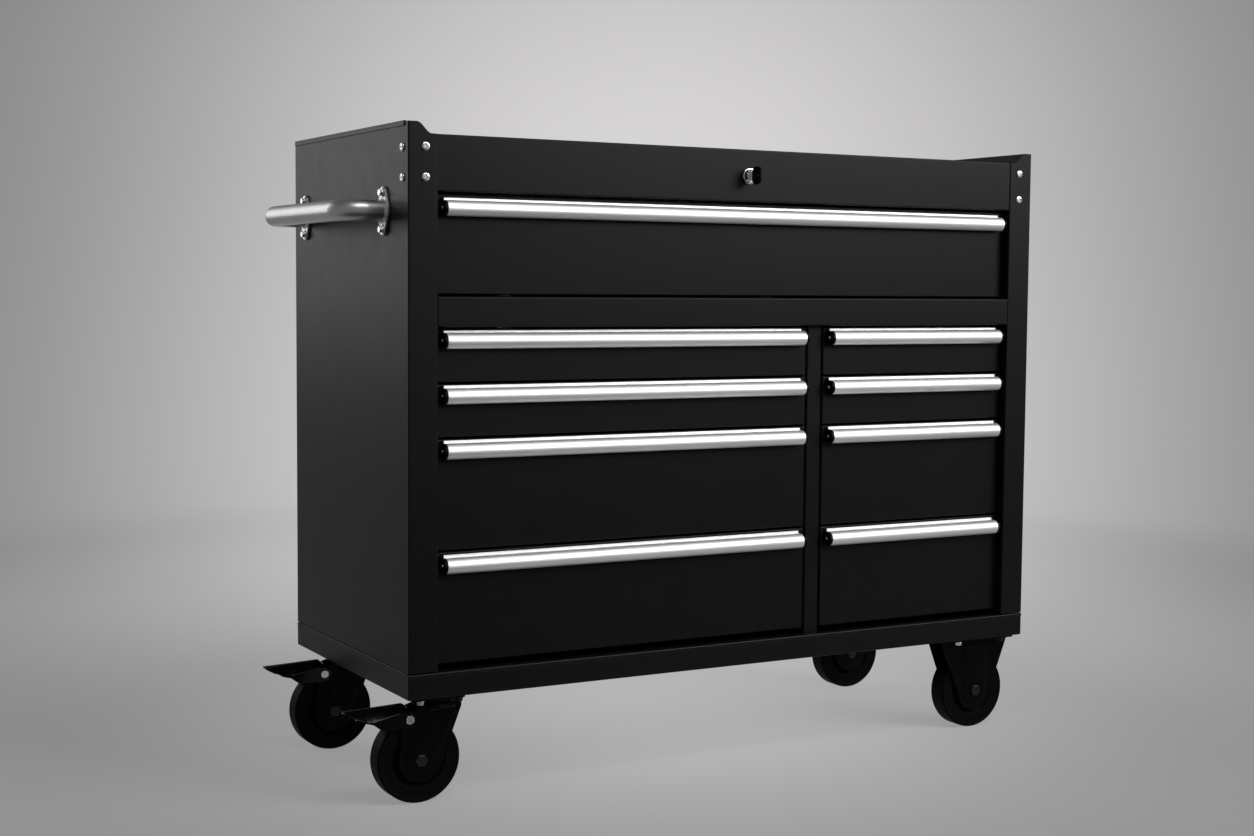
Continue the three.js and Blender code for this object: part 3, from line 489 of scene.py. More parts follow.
def side_panel(name, mirrored):
    """A side sheet with its front post folded on: a jamb beside the drawers, and a flange behind."""
    jamb = 25
    flange = 20
    post_sheet = 1.3
    return_start = 2.25
    wave = [(EAR_END - (EAR_END - EAR_FLAT) * i / 12, 0) for i in range(13)]
    spine = [(POST, jamb), (POST, 2.3), (POST, 0), *wave, (0, 0), (0, DEPTH), (flange, DEPTH)]

    def top(x, y):
        """The upper edge: behind the header the jamb stops below it, and the front follows the wave."""
        if x > EAR_END and y > return_start:
            return HEADER_BOTTOM - 0.3
        if x > EAR_END or y < post_sheet:
            return post_top(x)
        return PANEL_TOP

    bm = bmesh.new()
    foot = PANEL_FOOT + 1
    faces = []
    for line in folded_panel(spine):
        low = [bm.verts.new((x, y, foot)) for x, y in line]
        high = [bm.verts.new((x, y, top(x, y))) for x, y in line]
        faces.append((low, high))
    sheet_faces(bm, *faces)
    if mirrored:
        for vert in bm.verts:
            vert.co.x = WIDTH - vert.co.x
    make(name + "_shell", bm, "cabinet", PAINT, [name], bevel=0.35)


def folded_panel(spine):
    """Outer and inner face of the side panel's section, with 2 mm folds at its three corners."""
    fold = 2.0
    outer = []
    for i, (x, y) in enumerate(spine):
        corner = (x, y) in ((POST, 0), (0, 0), (0, DEPTH))
        if not corner:
            outer.append((x, y))
            continue
        outer += rounded([spine[i - 1], (x, y), spine[i + 1]], [fold])[1:-1]
    inner = beside(outer, -SHEET)
    return outer, inner


def cabinet_shell():
    """The folded sheets of the cabinet: sides, fascia, middle rail, divider and base."""
    side_panel("left_side_panel", False)
    side_panel("right_side_panel", True)

    (x0, x1), (y0, _), (z0, z1) = extent("top_fascia")
    bm = bmesh.new()
    sheet(bm, "x", [(25, z0), (y0, z0), (y0, z1), (14, z1), (14, z1 - 8)][::-1], x0, x1)
    make("fascia_shell", bm, "cabinet", PAINT, ["top_fascia"], bevel=0.35)

    (x0, x1), (y0, y1), (z0, z1) = extent("middle_rail")
    bm = bmesh.new()
    sheet(bm, "x", [(y1, z0), (y0, z0), (y0, z1), (y1, z1)][::-1], x0, x1)
    make("middle_rail_shell", bm, "cabinet", PAINT, ["middle_rail"], bevel=0.35)

    (x0, x1), (y0, y1), (z0, z1) = extent("centre_divider")
    bm = bmesh.new()
    sheet(bm, "z", [(x0, y1), (x0, y0), (x1, y0), (x1, y1)], z0, z1)
    make("divider_shell", bm, "cabinet", PAINT, ["centre_divider"], bevel=0.35)

    (x0, x1), (y0, y1), (z0, z1) = extent("base_pan")
    wall_top = z1 - 5
    bm = pan([(x0, x1), (y0, y1), (z0, wall_top)], ("z", 1), 2.0)
    make("base_shell", bm, "cabinet", PAINT, ["base_pan"], thickness=SHEET, bevel=0.3)
    lip = 18
    for name, axis, near, inward, start, end, radius in (
        ("front", "x", y0, lip, x0, x1, 2.4),
        ("back", "x", y1, -lip, x0, x1, 2.4),
        ("left", "y", x0, lip, y0 + 2, y1 - 2, 1.3),
        ("right", "y", x1, -lip, y0 + 2, y1 - 2, 1.3),
    ):
        spine = [(near, wall_top), (near, z1), (near + inward, z1)]
        if inward > 0:
            spine.reverse()
        bm = bmesh.new()
        sheet(bm, axis, spine, start, end, radius=radius)
        make("base_rim_" + name, bm, "cabinet", PAINT, bevel=0.2)


def top_deck():
    """The recessed deck, its rims over the sides and the back, and a hanger for the lock's rod."""
    (x0, x1), (y0, y1), (_, top) = extent("top_tray")
    deck = 785
    hem = 804
    rim = 4.2
    front = 14.3
    side_back = 466
    inner = y1 - 3 * SHEET - 0.6
    end_gap = 3
    back_corner = 22
    bm = bmesh.new()
    for left, sign in ((x0, 1), (x1, -1)):
        spine = [(left, hem), (left, top), (left + sign * rim, top), (left + sign * rim, deck - SHEET)]
        if sign > 0:
            spine.reverse()
        sheet(bm, "y", spine, y0, side_back, radius=1.9)
    spine = [(y1, hem), (y1, top), (y1 - rim, top), (y1 - rim, deck - SHEET)]
    sheet(bm, "x", spine, back_corner - 1, WIDTH - back_corner + 1, radius=1.9)
    block(bm, x0 + 4, x1 - 4, front, inner, deck - SHEET, deck)
    block(bm, end_gap, WIDTH - end_gap, front, front + SHEET, deck - SHEET, HEADER_TOP - 0.3)
    for start, end in ((end_gap, back_corner), (WIDTH - back_corner, WIDTH - end_gap)):
        block(bm, start, end, y1 - rim, y1 - rim + SHEET, deck - SHEET, top)
    reach, face = 10, 430
    block(bm, LOCK_X - reach, LOCK_X + reach, face, face + SHEET, LOCK_Z - reach, deck)
    make("top_deck_shell", bm, "cabinet", PAINT, ["top_tray"], bevel=0.3)


def back_beads():
    """Pressed stiffening beads on the back panel."""
    face = extent("back_panel")[1][1]
    corner = 40
    left, right = 108, WIDTH - 108
    inner_x, inner_z = 0.978, 0.93
    bm = bmesh.new()
    for z0, z1 in ((110, 400), (450, 740)):
        low, high = z0 + corner, z1 - corner
        outline = []
        for i, centre in enumerate(((right, high), (left, high), (left, low), (right, low))):
            outline += arc(centre, corner, 90 * i, 90 * i + 90, 6)
        mid_x, mid_z = WIDTH / 2, (z0 + z1) / 2
        inner = [(mid_x + (x - mid_x) * inner_x, mid_z + (z - mid_z) * inner_z) for x, z in outline]
        crest = [((a + c) / 2, (b + d) / 2) for (a, b), (c, d) in zip(outline, inner)]
        rows = []
        for line, height in ((outline, -0.4), (crest, 1.1), (inner, -0.4)):
            rows.append([bm.verts.new((x, face + height, z)) for x, z in line])
        for one, two in ((rows[0], rows[1]), (rows[1], rows[2]), (rows[2], rows[0])):
            skin(bm, one, two)
    make("back_panel_beads", bm, "cabinet", PAINT, sharp=80)


def finish_cad_nodes():
    """The CAD nodes that stay: their finish and softened edges."""
    kept = {
        "back_panel": PAINT,
        "left_caster_channel": PAINT,
        "right_caster_channel": PAINT,
        "left_slide_rack": ZINC,
        "right_slide_rack": ZINC,
        "divider_left_slide_rack": ZINC,
        "divider_right_slide_rack": ZINC,
        "lock_bar": ZINC,
    }
    for name, material in kept.items():
        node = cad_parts[name]
        node.data.materials.clear()
        node.data.materials.append(material)
        weld = node.modifiers.new("weld", "WELD")
        weld.merge_threshold = 0.00001
        flat = node.modifiers.new("flat", "DECIMATE")
        flat.decimate_type = "DISSOLVE"
        flat.angle_limit = math.radians(2)
        edges = node.modifiers.new("edges", "BEVEL")
        edges.width = 0.0003
        edges.segments = 2
        edges.limit_method = "ANGLE"
        edges.angle_limit = math.radians(40)


# ------------------------------------------------------------------ drawers

DRAWERS = ["top_drawer"] + [f"{side}_drawer_{i}" for side in ("left", "right") for i in range(1, 5)]
PULL_HEIGHT = 26
SLIDE_THICKNESS = 14
SLIDE_FRONT, SLIDE_BACK = 30, 425
TRAY_BACK = 436


def pull_section(closed=False):
    """The pull's outline on (distance from the drawer front, height). closed fills its hollow."""
    wall = 1.8
    shelf = 22.2
    centre = (8.5, 10.8)
    radius = 11.5
    top = math.degrees(math.asin((shelf - centre[1]) / radius))
    low = -math.degrees(math.asin(centre[1] / radius))
    outer = arc(centre, radius, top, low, 18)
    if closed:
        return [(0.3, 3), (0.3, PULL_HEIGHT), (2.4, PULL_HEIGHT), (2.4, shelf), *outer]
    inner_radius = radius - wall
    inner_top = math.degrees(math.asin((shelf - wall - centre[1]) / inner_radius))
    flange = arc((1.6, PULL_HEIGHT - 0.7), 0.7, 90, 0, 3)
    root = arc((3.3, shelf + 1.0), 1.0, 180, 270, 3)
    return [
        (0.3, 5),
        (0.3, PULL_HEIGHT),
        *flange,
        *root,
        *outer,
        *arc(centre, inner_radius, low, inner_top, 14),
        (2.3, shelf - wall),
        (2.3, 5),
    ]


def drawer(name):
    """A folded front, an open box behind it with a rolled rim, its slides and a lug for the lock bar."""
    tray = name + "_tray"
    (x0, x1), (y0, _), (z0, z1) = extent(tray)
    (pull_x0, pull_x1), _, (_, pull_top) = extent(name + "_pull")
    front_depth = 12
    bm = pan([(x0, x1), (y0, y0 + front_depth), (z0, z1)], ("y", 1), 1.8)
    make(name + "_front", bm, name, PAINT, [tray], thickness=SHEET, bevel=0.25)
    floor, top = z0 + 4, z1 - 14
    tray_left, tray_right = tray_sides(name)
    bm = pan([(tray_left, tray_right), (y0 + SHEET, TRAY_BACK), (floor, top)], ("z", 1), 1.6)
    make(name + "_box", bm, name, PAINT, thickness=SHEET)
    inset = 0.9
    left, right = tray_left + inset, tray_right - inset
    near, rear = y0 + 2, TRAY_BACK - inset
    rim = rounded([(left, near), (left, rear), (right, rear), (right, near)], [2.5, 2.5])
    bm = bmesh.new()
    tube(bm, [(x, y, top - 0.6) for x, y in rim], 1.5, 12)
    make(name + "_rolled_rim", bm, name, PAINT)
    level = floor + 0.42 * (top - floor)
    slides = bmesh.new()
    for wall, sign in ((tray_left, -1), (tray_right, 1)):
        hat = [(11, 13.5), (11, 9.4), (0.5, 9.4), (0.5, -9.4), (11, -9.4), (11, -13.5)]
        line = [(wall + sign * reach, level + height) for reach, height in hat]
        if sign > 0:
            line.reverse()
        sheet(slides, "y", line, SLIDE_FRONT, SLIDE_BACK, radius=1.6)
    lug_x = {"top": (x0 + x1) / 2, "left": 361, "right": 892}[name.split("_")[0]]
    lug_top = top - 4 + SHEET
    lug_back = TRAY_BACK + 11
    hook = [(lug_back, lug_top - 8 - SHEET), (lug_back, lug_top), (TRAY_BACK - 0.5, lug_top)]
    sheet(slides, "x", hook, lug_x - 12, lug_x + 12, radius=1.6)
    make(name + "_slides", slides, name, ZINC, bevel=0.2)
    drawer_pull(name, pull_x0, pull_x1, y0, pull_top - PULL_HEIGHT)


def tray_sides(name):
    """Left and right of a drawer's box, which leaves room for its slides."""
    rack_face = 43.5
    gap = 1.5
    divider_left, divider_right = extent("centre_divider")[0]
    left = divider_right + gap if name.startswith("right") else rack_face
    right = divider_left - gap if name.startswith("left") else WIDTH - rack_face
    return left + SLIDE_THICKNESS, right - SLIDE_THICKNESS


def drawer_pull(name, x0, x1, front, foot):
    """An aluminium pull between two plastic end caps, each held by a screw."""
    cap_length = 5
    bm = bmesh.new()
    prism(bm, "x", [(front - u, foot + v) for u, v in pull_section()], x0, x1)
    make(name + "_grip", bm, name, ALUMINIUM, [name + "_pull"], bevel=0.15, sharp=30)
    for end, start, out in (("left", x0, -1), ("right", x1, 1)):
        outer = start + out * cap_length
        bm = bmesh.new()
        cap = [(front - u, foot + v) for u, v in pull_section(closed=True)]
        prism(bm, "x", cap, *sorted((start, outer)))
        make(f"{name}_cap_{end}", bm, name, PLASTIC, bevel=0.7)
        screw(f"{name}_cap_screw_{end}", name, "x", out, outer, (front - 9, foot + 11.5), 2.6)


# ------------------------------------------------------------------ fasteners


def screw(name, body, axis, sign, seat, centre, radius):
    """A pan-head screw with a cross recess. Its head stands out of the seat along sign."""
    height = radius * 0.42
    bm = bmesh.new()
    dome = [(0, seat - sign * 0.4), (radius, seat - sign * 0.4), (radius, seat + sign * height * 0.35)]
    for i in range(1, 5):
        angle = math.radians(90 * i / 4)
        reach = radius * (0.62 + 0.38 * math.cos(angle))
        dome.append((reach, seat + sign * height * (0.35 + 0.65 * math.sin(angle))))
    dome.append((0, seat + sign * height))
    turned(bm, axis, dome, centre, 24)
    head = make(name, bm, body, ZINC)
    a, b = centre
    bar, arm = radius * 0.17, radius * 0.62
    quarter = [(arm, -bar), (arm, bar), (bar, bar)]
    cross = []
    for _ in range(4):
        cross += [(a + u, b + v) for u, v in quarter]
        quarter = [(-v, u) for u, v in quarter]
    near, far = sorted((seat + sign * (height + 1), seat + sign * height * 0.1))
    tool = bmesh.new()
    prism(tool, axis, cross, near, far)
    carve(head, tool)


def hex_bolt(bm, axis, sign, seat, centre, size, height, washer):
    """A hex head on a washer, standing out of the seat along sign."""

    def at(distance):
        return seat + sign * distance

    start, end = sorted((at(-0.5), at(1.3)))
    rod(bm, axis, washer, start, end, centre, 28, 0.3)
    crown = [(0, at(1.2)), (size, at(1.2)), (size, at(height - 0.8))]
    crown += [(size * 0.86, at(height)), (0, at(height))]
    turned(bm, axis, crown, centre, 6)


def cabinet_screws():
    """Two screws in each front post and two in each side, near the top."""
    post_inset, side_inset = 26, 20
    radius = 6.3
    for i, z in enumerate((776, 733.7), 1):
        screw(f"left_post_screw_{i}", "cabinet", "y", -1, 0, (post_inset, z), radius)
        screw(f"right_post_screw_{i}", "cabinet", "y", -1, 0, (WIDTH - post_inset, z), radius)
    for i, z in enumerate((775, 733), 1):
        screw(f"left_side_screw_{i}", "cabinet", "x", -1, 0, (side_inset, z), radius)
        screw(f"right_side_screw_{i}", "cabinet", "x", 1, WIDTH - 0.9, (side_inset, z), radius)


# ------------------------------------------------------------------ lock

PLUG_END = 32


def lock_bezel():
    """A collar with a rolled edge, on a neck that goes through the fascia."""
    front = extent("lock_housing")[1][0]
    fascia = extent("top_fascia")[1][0]
    bore, neck, collar, roll = 6.3, 9, 12.5, 1.6
    profile = [(bore, PLUG_END), (neck, PLUG_END), (neck, fascia), (collar, fascia - 0.1)]
    profile.append((collar, front + roll))
    for turn in (0.4, 0.8, 1.2, 1.57):
        profile.append((collar - roll + roll * math.cos(turn), front + roll - roll * math.sin(turn)))
    profile += [(9.2, front), (8.4, front + 0.9), (bore, front + 0.9)]
    bm = bmesh.new()
    turned(bm, "y", profile, (LOCK_X, LOCK_Z), 64)
    make("lock_bezel", bm, "cabinet", CHROME, ["lock_housing"])


def lock_cylinder():
    """The plug with its keyway, and behind it the rod and the crank that lift the lock bar."""
    centre = (LOCK_X, LOCK_Z)
    front = extent("lock_housing")[1][0]
    bm = bmesh.new()
    rod(bm, "y", 5.7, front + 0.5, PLUG_END, centre, 48, 0.4)
    plug = make("lock_core", bm, "lock_cylinder", CHROME, ["lock_plug"])
    keyway = bmesh.new()
    block(keyway, LOCK_X - 1.4, LOCK_X + 1.4, front - 3, 20, LOCK_Z - 3.8, LOCK_Z + 3.8)
    carve(plug, keyway)

    crank = 8
    crank_front, crank_back = 447.5, 450
    slant = math.sqrt(0.5)
    outline = []
    for a, b in arc((0, 0), 4.5, -90, 90, 10) + arc((-crank, 0), 4, 90, 270, 10):
        outline.append((LOCK_X + (a - b) * slant, LOCK_Z + (a + b) * slant))
    pin = (LOCK_X - crank * slant, LOCK_Z - crank * slant)
    bm = bmesh.new()
    rod(bm, "y", 3, PLUG_END - 0.5, crank_back - 0.5, centre, 20)
    prism(bm, "y", outline, crank_front, crank_back)
    rod(bm, "y", 2, crank_back - 0.5, crank_back + 6.5, pin, 16, 0.4)
    make("lock_rod", bm, "lock_cylinder", ZINC, bevel=0.2)


def lock_key():
    """A plastic head with a ring hole, on a flat blade with teeth."""
    hole_y = -26
    head_front = extent("lock_key")[1][0]
    upper = [(-9, 0), (-9, 6), (-14, 13.5), (hole_y, 13.5), (head_front, 9)]
    corners = upper + [(y, -z) for y, z in reversed(upper)]
    outline = rounded(corners, [1.5, 4, 6, 5, 5, 6, 4, 1.5])[:-1]
    bm = bmesh.new()
    prism(bm, "x", [(y, LOCK_Z + z) for y, z in outline], LOCK_X - 1.9, LOCK_X + 1.9)
    head = make("key_head", bm, "key", PLASTIC, ["lock_key"], bevel=0.8)
    hole = bmesh.new()
    rod(hole, "x", 2.6, LOCK_X - 4, LOCK_X + 4, (hole_y, LOCK_Z), 20)
    carve(head, hole)
    blade = [(-10, -3.3), (18, -3.3)]
    blade += [(18, 1.0), (15.5, 2.2), (13, 0.8), (10.5, 2.6), (8, 1.2), (5.5, 3.0), (2.5, 3.3)]
    blade.append((-10, 3.3))
    bm = bmesh.new()
    prism(bm, "x", [(y, LOCK_Z + z) for y, z in blade], LOCK_X - 1.0, LOCK_X + 1.0)
    make("key_blade", bm, "key", ZINC, bevel=0.15)


# ------------------------------------------------------------------ push handle


def hull_outline(*circles):
    """Convex outline round circles given as ((a, b), radius)."""
    cloud = [point for centre, radius in circles for point in arc(centre, radius, 0, 345, 23)]
    cloud.sort()
    chains = []
    for points in (cloud, cloud[::-1]):
        chain = []
        for point in points:
            while len(chain) > 1 and turns_right(chain[-2], chain[-1], point):
                chain.pop()
            chain.append(point)
        chains += chain[:-1]
    return chains


def turns_right(a, b, c):
    return (b[0] - a[0]) * (c[1] - a[1]) - (b[1] - a[1]) * (c[0] - a[0]) <= 1e-6


def push_handle():
    """A bent tube between two flanges, each held by two bolts with a backing plate inside the panel."""
    radius = 15.5
    out = HANDLE_OUT + radius
    bend = 34
    belly = 20
    bolt_side = 26
    _, (y0, y1), (z0, z1) = extent("push_handle")
    front, rear = y0 + belly, y1 - belly
    route = rounded([(-1, front), (out, front), (out, rear), (-1, rear)], [bend, bend], 16)
    bm = bmesh.new()
    tube(bm, [(x, y, HANDLE_Z) for x, y in route], radius, 48)
    make("handle_tube", bm, "cabinet", SATIN_CHROME, ["push_handle"], bevel=0.5, sharp=60)
    for end, y in (("front", front), ("rear", rear)):
        places = [(y, HANDLE_Z - bolt_side), (y, HANDLE_Z + bolt_side)]
        outline = hull_outline(((y, HANDLE_Z), belly), *[(place, 9) for place in places])
        bm = bmesh.new()
        prism(bm, "x", outline, -4.3, -0.3)
        weld = [(-0.5, -4.0), (2.4, -4.1), (1.2, -5.0), (0.4, -6.4), (-0.5, -7)]
        turned(bm, "x", [(radius + r, along) for r, along in weld], (y, HANDLE_Z), 48)
        make(f"handle_{end}_flange", bm, "cabinet", SATIN_CHROME, bevel=0.7, sharp=40)
        bm = bmesh.new()
        block(bm, 1.5, 3.5, y - 13, y + 13, z0, z1)
        for place in places:
            hex_bolt(bm, "x", -1, -4.6, place, 5.6, 5.0, 7)
            rod(bm, "x", 3, 3, 5.5, place, 16)
        node = f"handle_{end}_bolts"
        make(f"handle_{end}_hardware", bm, "cabinet", ZINC, [node], bevel=0.2, sharp=30)


# ------------------------------------------------------------------ casters

# A caster is drawn from the middle of its axle along X and Y, and is then moved to its place.
AXLE_DROP = 91.5
WHEEL_RADIUS = 63.5
LOBE_RADIUS = 33
PIVOT = (-17, -31)


def move(bm, x, y):
    bm.transform(Matrix.Translation((x, y, 0)))


def wheel(place, body, x, y):
    """A tyre, and a hub with six ribs on each side."""
    centre = (0, -AXLE_DROP)
    side = [(39.8, 12.6), (40.6, 14.2), (42.4, 15.0), (47, 15.2), (55, 14.9), (57.5, 15.6), (59.6, 16.0)]
    side += arc((59.9, 12.4), 3.6, 84, 10, 7)
    side += [(WHEEL_RADIUS, 6), (WHEEL_RADIUS, 0)]
    profile = [(r, -along) for r, along in side] + side[-2::-1]
    bm = bmesh.new()
    turned(bm, "y", profile, centre, 96)
    move(bm, x, y)
    make(place + "_tyre_ring", bm, body, RUBBER, [place + "_tyre"], sharp=50)

    side = [
        (6.6, 17),
        (12.6, 17),
        (13.6, 16),
        (14.4, 9.5),
        (17.0, 7.2),
        (24, 6.2),
        (33.5, 6.4),
        (36.4, 8.2),
        (37.2, 12.4),
        (37.8, 13.4),
        (38.9, 13.4),
        (39.4, 12.6),
    ]
    profile = [(r, -along) for r, along in side] + side[::-1]
    bm = bmesh.new()
    turned(bm, "y", profile, centre, 72)
    for i in range(6):
        angle = math.radians(60 * i + 15)
        rib = bmesh.new()
        prism(rib, "z", [(13, -1.4), (36.5, -1.1), (36.5, 1.1), (13, 1.4)], -10.0, 10.0)
        rib.transform(Matrix.Rotation(math.radians(90), 4, "X"))
        rib.transform(Matrix.Rotation(angle, 4, "Y"))
        rib.transform(Matrix.Translation((0, 0, -AXLE_DROP)))
        spare = bpy.data.meshes.new("rib")
        rib.to_mesh(spare)
        bm.from_mesh(spare)
        bpy.data.meshes.remove(spare)
        rib.free()
    move(bm, x, y)
    make(place + "_hub_core", bm, body, PLASTIC, [place + "_hub"], bevel=0.3, sharp=40)


def axle(place, body, x, y):
    """A bolt through the fork, with a hex head and a washer at each end."""
    centre = (0, -AXLE_DROP)
    bm = bmesh.new()
    rod(bm, "y", 6, -23, 23.5, centre, 24, 0.8)
    for sign in (-1, 1):
        hex_bolt(bm, "y", sign, sign * 20.8, centre, 9.6, 5, 10)
    move(bm, x, y)
    make(place + "_axle_bolt", bm, body, DARK_ZINC_AND_PAINTED_SHADE, [place + "_axle"], bevel=0.4, sharp=30)


def leg_plate(bm, outline):
    """The two flat legs of a fork."""
    for near, far in ((17.5, 20.5), (-20.5, -17.5)):
        prism(bm, "y", outline, near, far)


def leg_rib(bm, outline, sign, slope=5.0):
    """A pressed panel that stands out of a fork leg, with a sloping edge all round."""
    base, crest = sign * 20.3, sign * 22.7
    inside = beside([outline[-1], *outline, outline[0]], slope)[1:-1]
    low = [bm.verts.new((a, base, b)) for a, b in outline]
    high = [bm.verts.new((a, crest, b)) for a, b in inside]
    capped(bm, low, high)


def mounting_plate(bm, x, length):
    """A plate with rounded corners, under the channel that carries the caster."""
    corner = 8
    half_x, half_y = length / 2 - corner, 38 - corner
    corners = [(x + a, b) for a in (-half_x, half_x) for b in (-half_y, half_y)]
    prism(bm, "z", hull_outline(*[(place, corner) for place in corners]), -3.3, -0.3)


def plate_bolts(place, x, y, reach):
    """Four bolts through the mounting plate: bright zinc on its left, dark zinc on its right as painted
    shade.
    """
    # The right-hand pair is painted dark as shade, so that it hardly shows.
    for side, dx, finish in (("left", -reach, ZINC), ("right", reach, DARK_ZINC_AND_PAINTED_SHADE)):
        bm = bmesh.new()
        for dy in (-32, 32):
            hex_bolt(bm, "z", -1, -3.3, (dx, dy), 5.6, 5.6, 6.0)
        move(bm, x, y)
        make(f"{place}_{side}_plate_bolts", bm, "cabinet", finish, bevel=0.2, sharp=30)


def swivel_caster(place):
    """Drawn from the middle of its axle, with the swivel axis behind it under the plate."""
    x, y, _ = middle(place + "_axle")
    plate = extent(place + "_caster_plate")[0]
    trail = (plate[0] + plate[1]) / 2 - x
    axis = (trail, 0)
    bm = bmesh.new()
    mounting_plate(bm, trail, plate[1] - plate[0])
    race = [(0, -3.2), (30, -3.2), (29.5, -7.5), (27.5, -9.4), (25.5, -11.7), (0, -11.7)]
    turned(bm, "z", race, axis, 48)
    rod(bm, "z", 6, -17, -11.5, axis, 24)
    rod(bm, "z", 10, -21.3, -15.3, axis, 6, 0.8)
    move(bm, x, y)
    plates = [place + "_caster_plate"]
    make(place + "_swivel_plate", bm, "cabinet", CASTER_PAINT, plates, bevel=0.4)
    plate_bolts(place, x + trail, y, 30)

    body = place + "_swivel"
    bm = bmesh.new()
    crown = [(6.5, -12), (27, -12), (29, -13.2), (29, -15), (6.5, -15)]
    turned(bm, "z", crown, axis, 48)
    block(bm, 4.5, 63.5, -19.5, 19.5, -15, -12)
    axle_place = (0, -AXLE_DROP)
    shoulder = [((4, -15), 0), ((16, -12), 0), ((63.7, -12), 0), ((63.7, -18.4), 0)]
    leg_plate(bm, hull_outline(*shoulder, (PIVOT, 9), (axle_place, LOBE_RADIUS)))
    rib = hull_outline(((50, -22), 6), ((14, -24), 6), (axle_place, 24))
    for sign in (-1, 1):
        leg_rib(bm, rib, sign)
        start, end = sorted((sign * 19.5, sign * 24.5))
        rod(bm, "y", 4, start, end, PIVOT, 20)
    move(bm, x, y)
    fork = [place + "_caster_fork"]
    make(place + "_fork_shell", bm, body, CASTER_PAINT, fork, bevel=0.5)
    bm = bmesh.new()
    for sign in (-1, 1):
        start, end = sorted((sign * 23.3, sign * 25.8))
        rod(bm, "y", 6.4, start, end, PIVOT, 24, 0.9)
    move(bm, x, y)
    make(place + "_pivot_rivets", bm, body, ZINC)
    axle(place, body, x, y)
    wheel(place, place + "_wheel", x, y)
    brake_pedal(place, x, y)


def along(marks, x):
    """A value read off marks of (x, value), straight between them."""
    for (xa, a), (xb, b) in zip(marks, marks[1:]):
        if x <= xb:
            return a + (b - a) * max(0, (x - xa) / (xb - xa))
    return marks[-1][1]


# The pedal's lines from its tip to its rear, as (x from the axle, height from the base).
PEDAL_TIP = -109
PEDAL_RIDGE = [(-109, -14.0), (-20, -11.0), (-5, -26)]
PEDAL_FOLD = [
    (-109, -15.0),
    (-103, -18.5),
    (-92, -24),
    (-81, -28),
    (-72, -28.6),
    (-60, -26),
    (-28, -19.5),
    (-14, -20.5),
    (-5, -27),
]
PEDAL_SKIRT = [
    (-109, -15.8),
    (-97, -22.5),
    (-85, -29.6),
    (-72, -32.8),
    (-61, -41),
    (-50, -43),
    (-18, -43),
    (-11, -41.5),
    (-5, -31),
]


def pedal_half_width(x):
    """Half the pedal's width: even at its rear, and round towards its tip."""
    bend = -70
    if x > bend:
        return 22.9
    share = (bend - x) / (bend - PEDAL_TIP)
    return 2.5 + 20.4 * math.sqrt(max(0.0, 1 - share**2))


def brake_pedal(place, x, y):
    """A pressed cap: a crowned top that falls to a fold on each side, and skirts round the tip."""
    stations = [PEDAL_TIP + i for i in range(8)] + [PEDAL_TIP + 8 + 2 * i for i in range(49)]
    bm = bmesh.new()
    rows = []
    for station in stations:
        half = pedal_half_width(station)
        top = along(PEDAL_RIDGE, station)
        fold = min(along(PEDAL_FOLD, station), top - 0.5)
        skirt = min(along(PEDAL_SKIRT, station), fold - 0.6)
        wall = [(half, skirt), (half, (skirt + fold) / 2), (half, fold - 0.7)]
        crown = []
        for i in range(10):
            share = 1 - i / 9.5
            crown.append(((half - 0.5) * share, fold + (top - fold) * (1 - share**1.7)))
        side = wall + crown
        section = [(-a, b) for a, b in side] + side[::-1]
        rows.append([bm.verts.new((station, a, b)) for a, b in section])
    for one, two in zip(rows, rows[1:]):
        for i in range(len(one) - 1):
            bm.faces.new((one[i], one[i + 1], two[i + 1], two[i]))
    bm.faces.new(rows[0])
    bmesh.ops.recalc_face_normals(bm, faces=bm.faces)
    upward = max(bm.faces, key=lambda f: f.calc_center_median().z)
    if upward.normal.z < 0:
        bmesh.ops.reverse_faces(bm, faces=bm.faces)
    move(bm, x, y)
    body = place + "_brake"
    pedal = [place + "_brake_pedal"]
    make(place + "_pedal_cap", bm, body, GLOSS_PAINT, pedal, thickness=1.8, bevel=0.3)
    bm = bmesh.new()
    shoe = [(-51, -40), (-47, -40), (-46, -20), (-52, -20)]
    prism(bm, "y", shoe, -14, 14)
    move(bm, x, y)
    make(place + "_brake_shoe", bm, body, CASTER_PAINT, bevel=0.5)


def rigid_caster(place):
    """Drawn from the middle of its plate, right over its axle."""
    x, y, _ = middle(place + "_caster_bracket")
    left, right = extent(place + "_caster_bracket")[0]
    length = right - left
    axle_place = (0, -AXLE_DROP)
    bm = bmesh.new()
    mounting_plate(bm, 0, length)
    reach = length / 2 - 1.5
    leg_plate(bm, hull_outline(((-reach, -3), 0), ((reach, -3), 0), (axle_place, LOBE_RADIUS)))
    rib = hull_outline(((-20, -16), 9), ((20, -16), 9), (axle_place, 27))
    for sign in (-1, 1):
        leg_rib(bm, rib, sign, slope=8)
        fillet = [(17.6, -3), (23.5, -3), (21.2, -4.6), (20.4, -7.5), (17.6, -7.5)]
        prism(bm, "x", [(sign * a, b) for a, b in fillet], -reach + 1, reach - 1)
    move(bm, x, y)
    bracket = [place + "_caster_bracket"]
    make(place + "_bracket_shell", bm, "cabinet", CASTER_PAINT, bracket, bevel=0.5)
    plate_bolts(place, x, y, 45)
    axle(place, "cabinet", x, y)
    wheel(place, place + "_wheel", x, y)


# ------------------------------------------------------------------ stage

# How far the view is turned from the chest's front, in degrees.
VIEW_YAW = 29.194
# The cove's painted light: an even glow, and pools of painted light on the wall and the floor as (centre,
# radius, strength).
AMBIENT_GLOW = 0.19
GLOWS = [
    ((1.92, 3.30, 1.08), 3.1, 0.66),
    ((0.73, 1.33, 1.97), 2.75, 1.49),
    # This last pool is painted light on the floor under the chest, where its shadow falls.
    ((0.0, 0.05, 0.0), 1.0, 0.17),
]


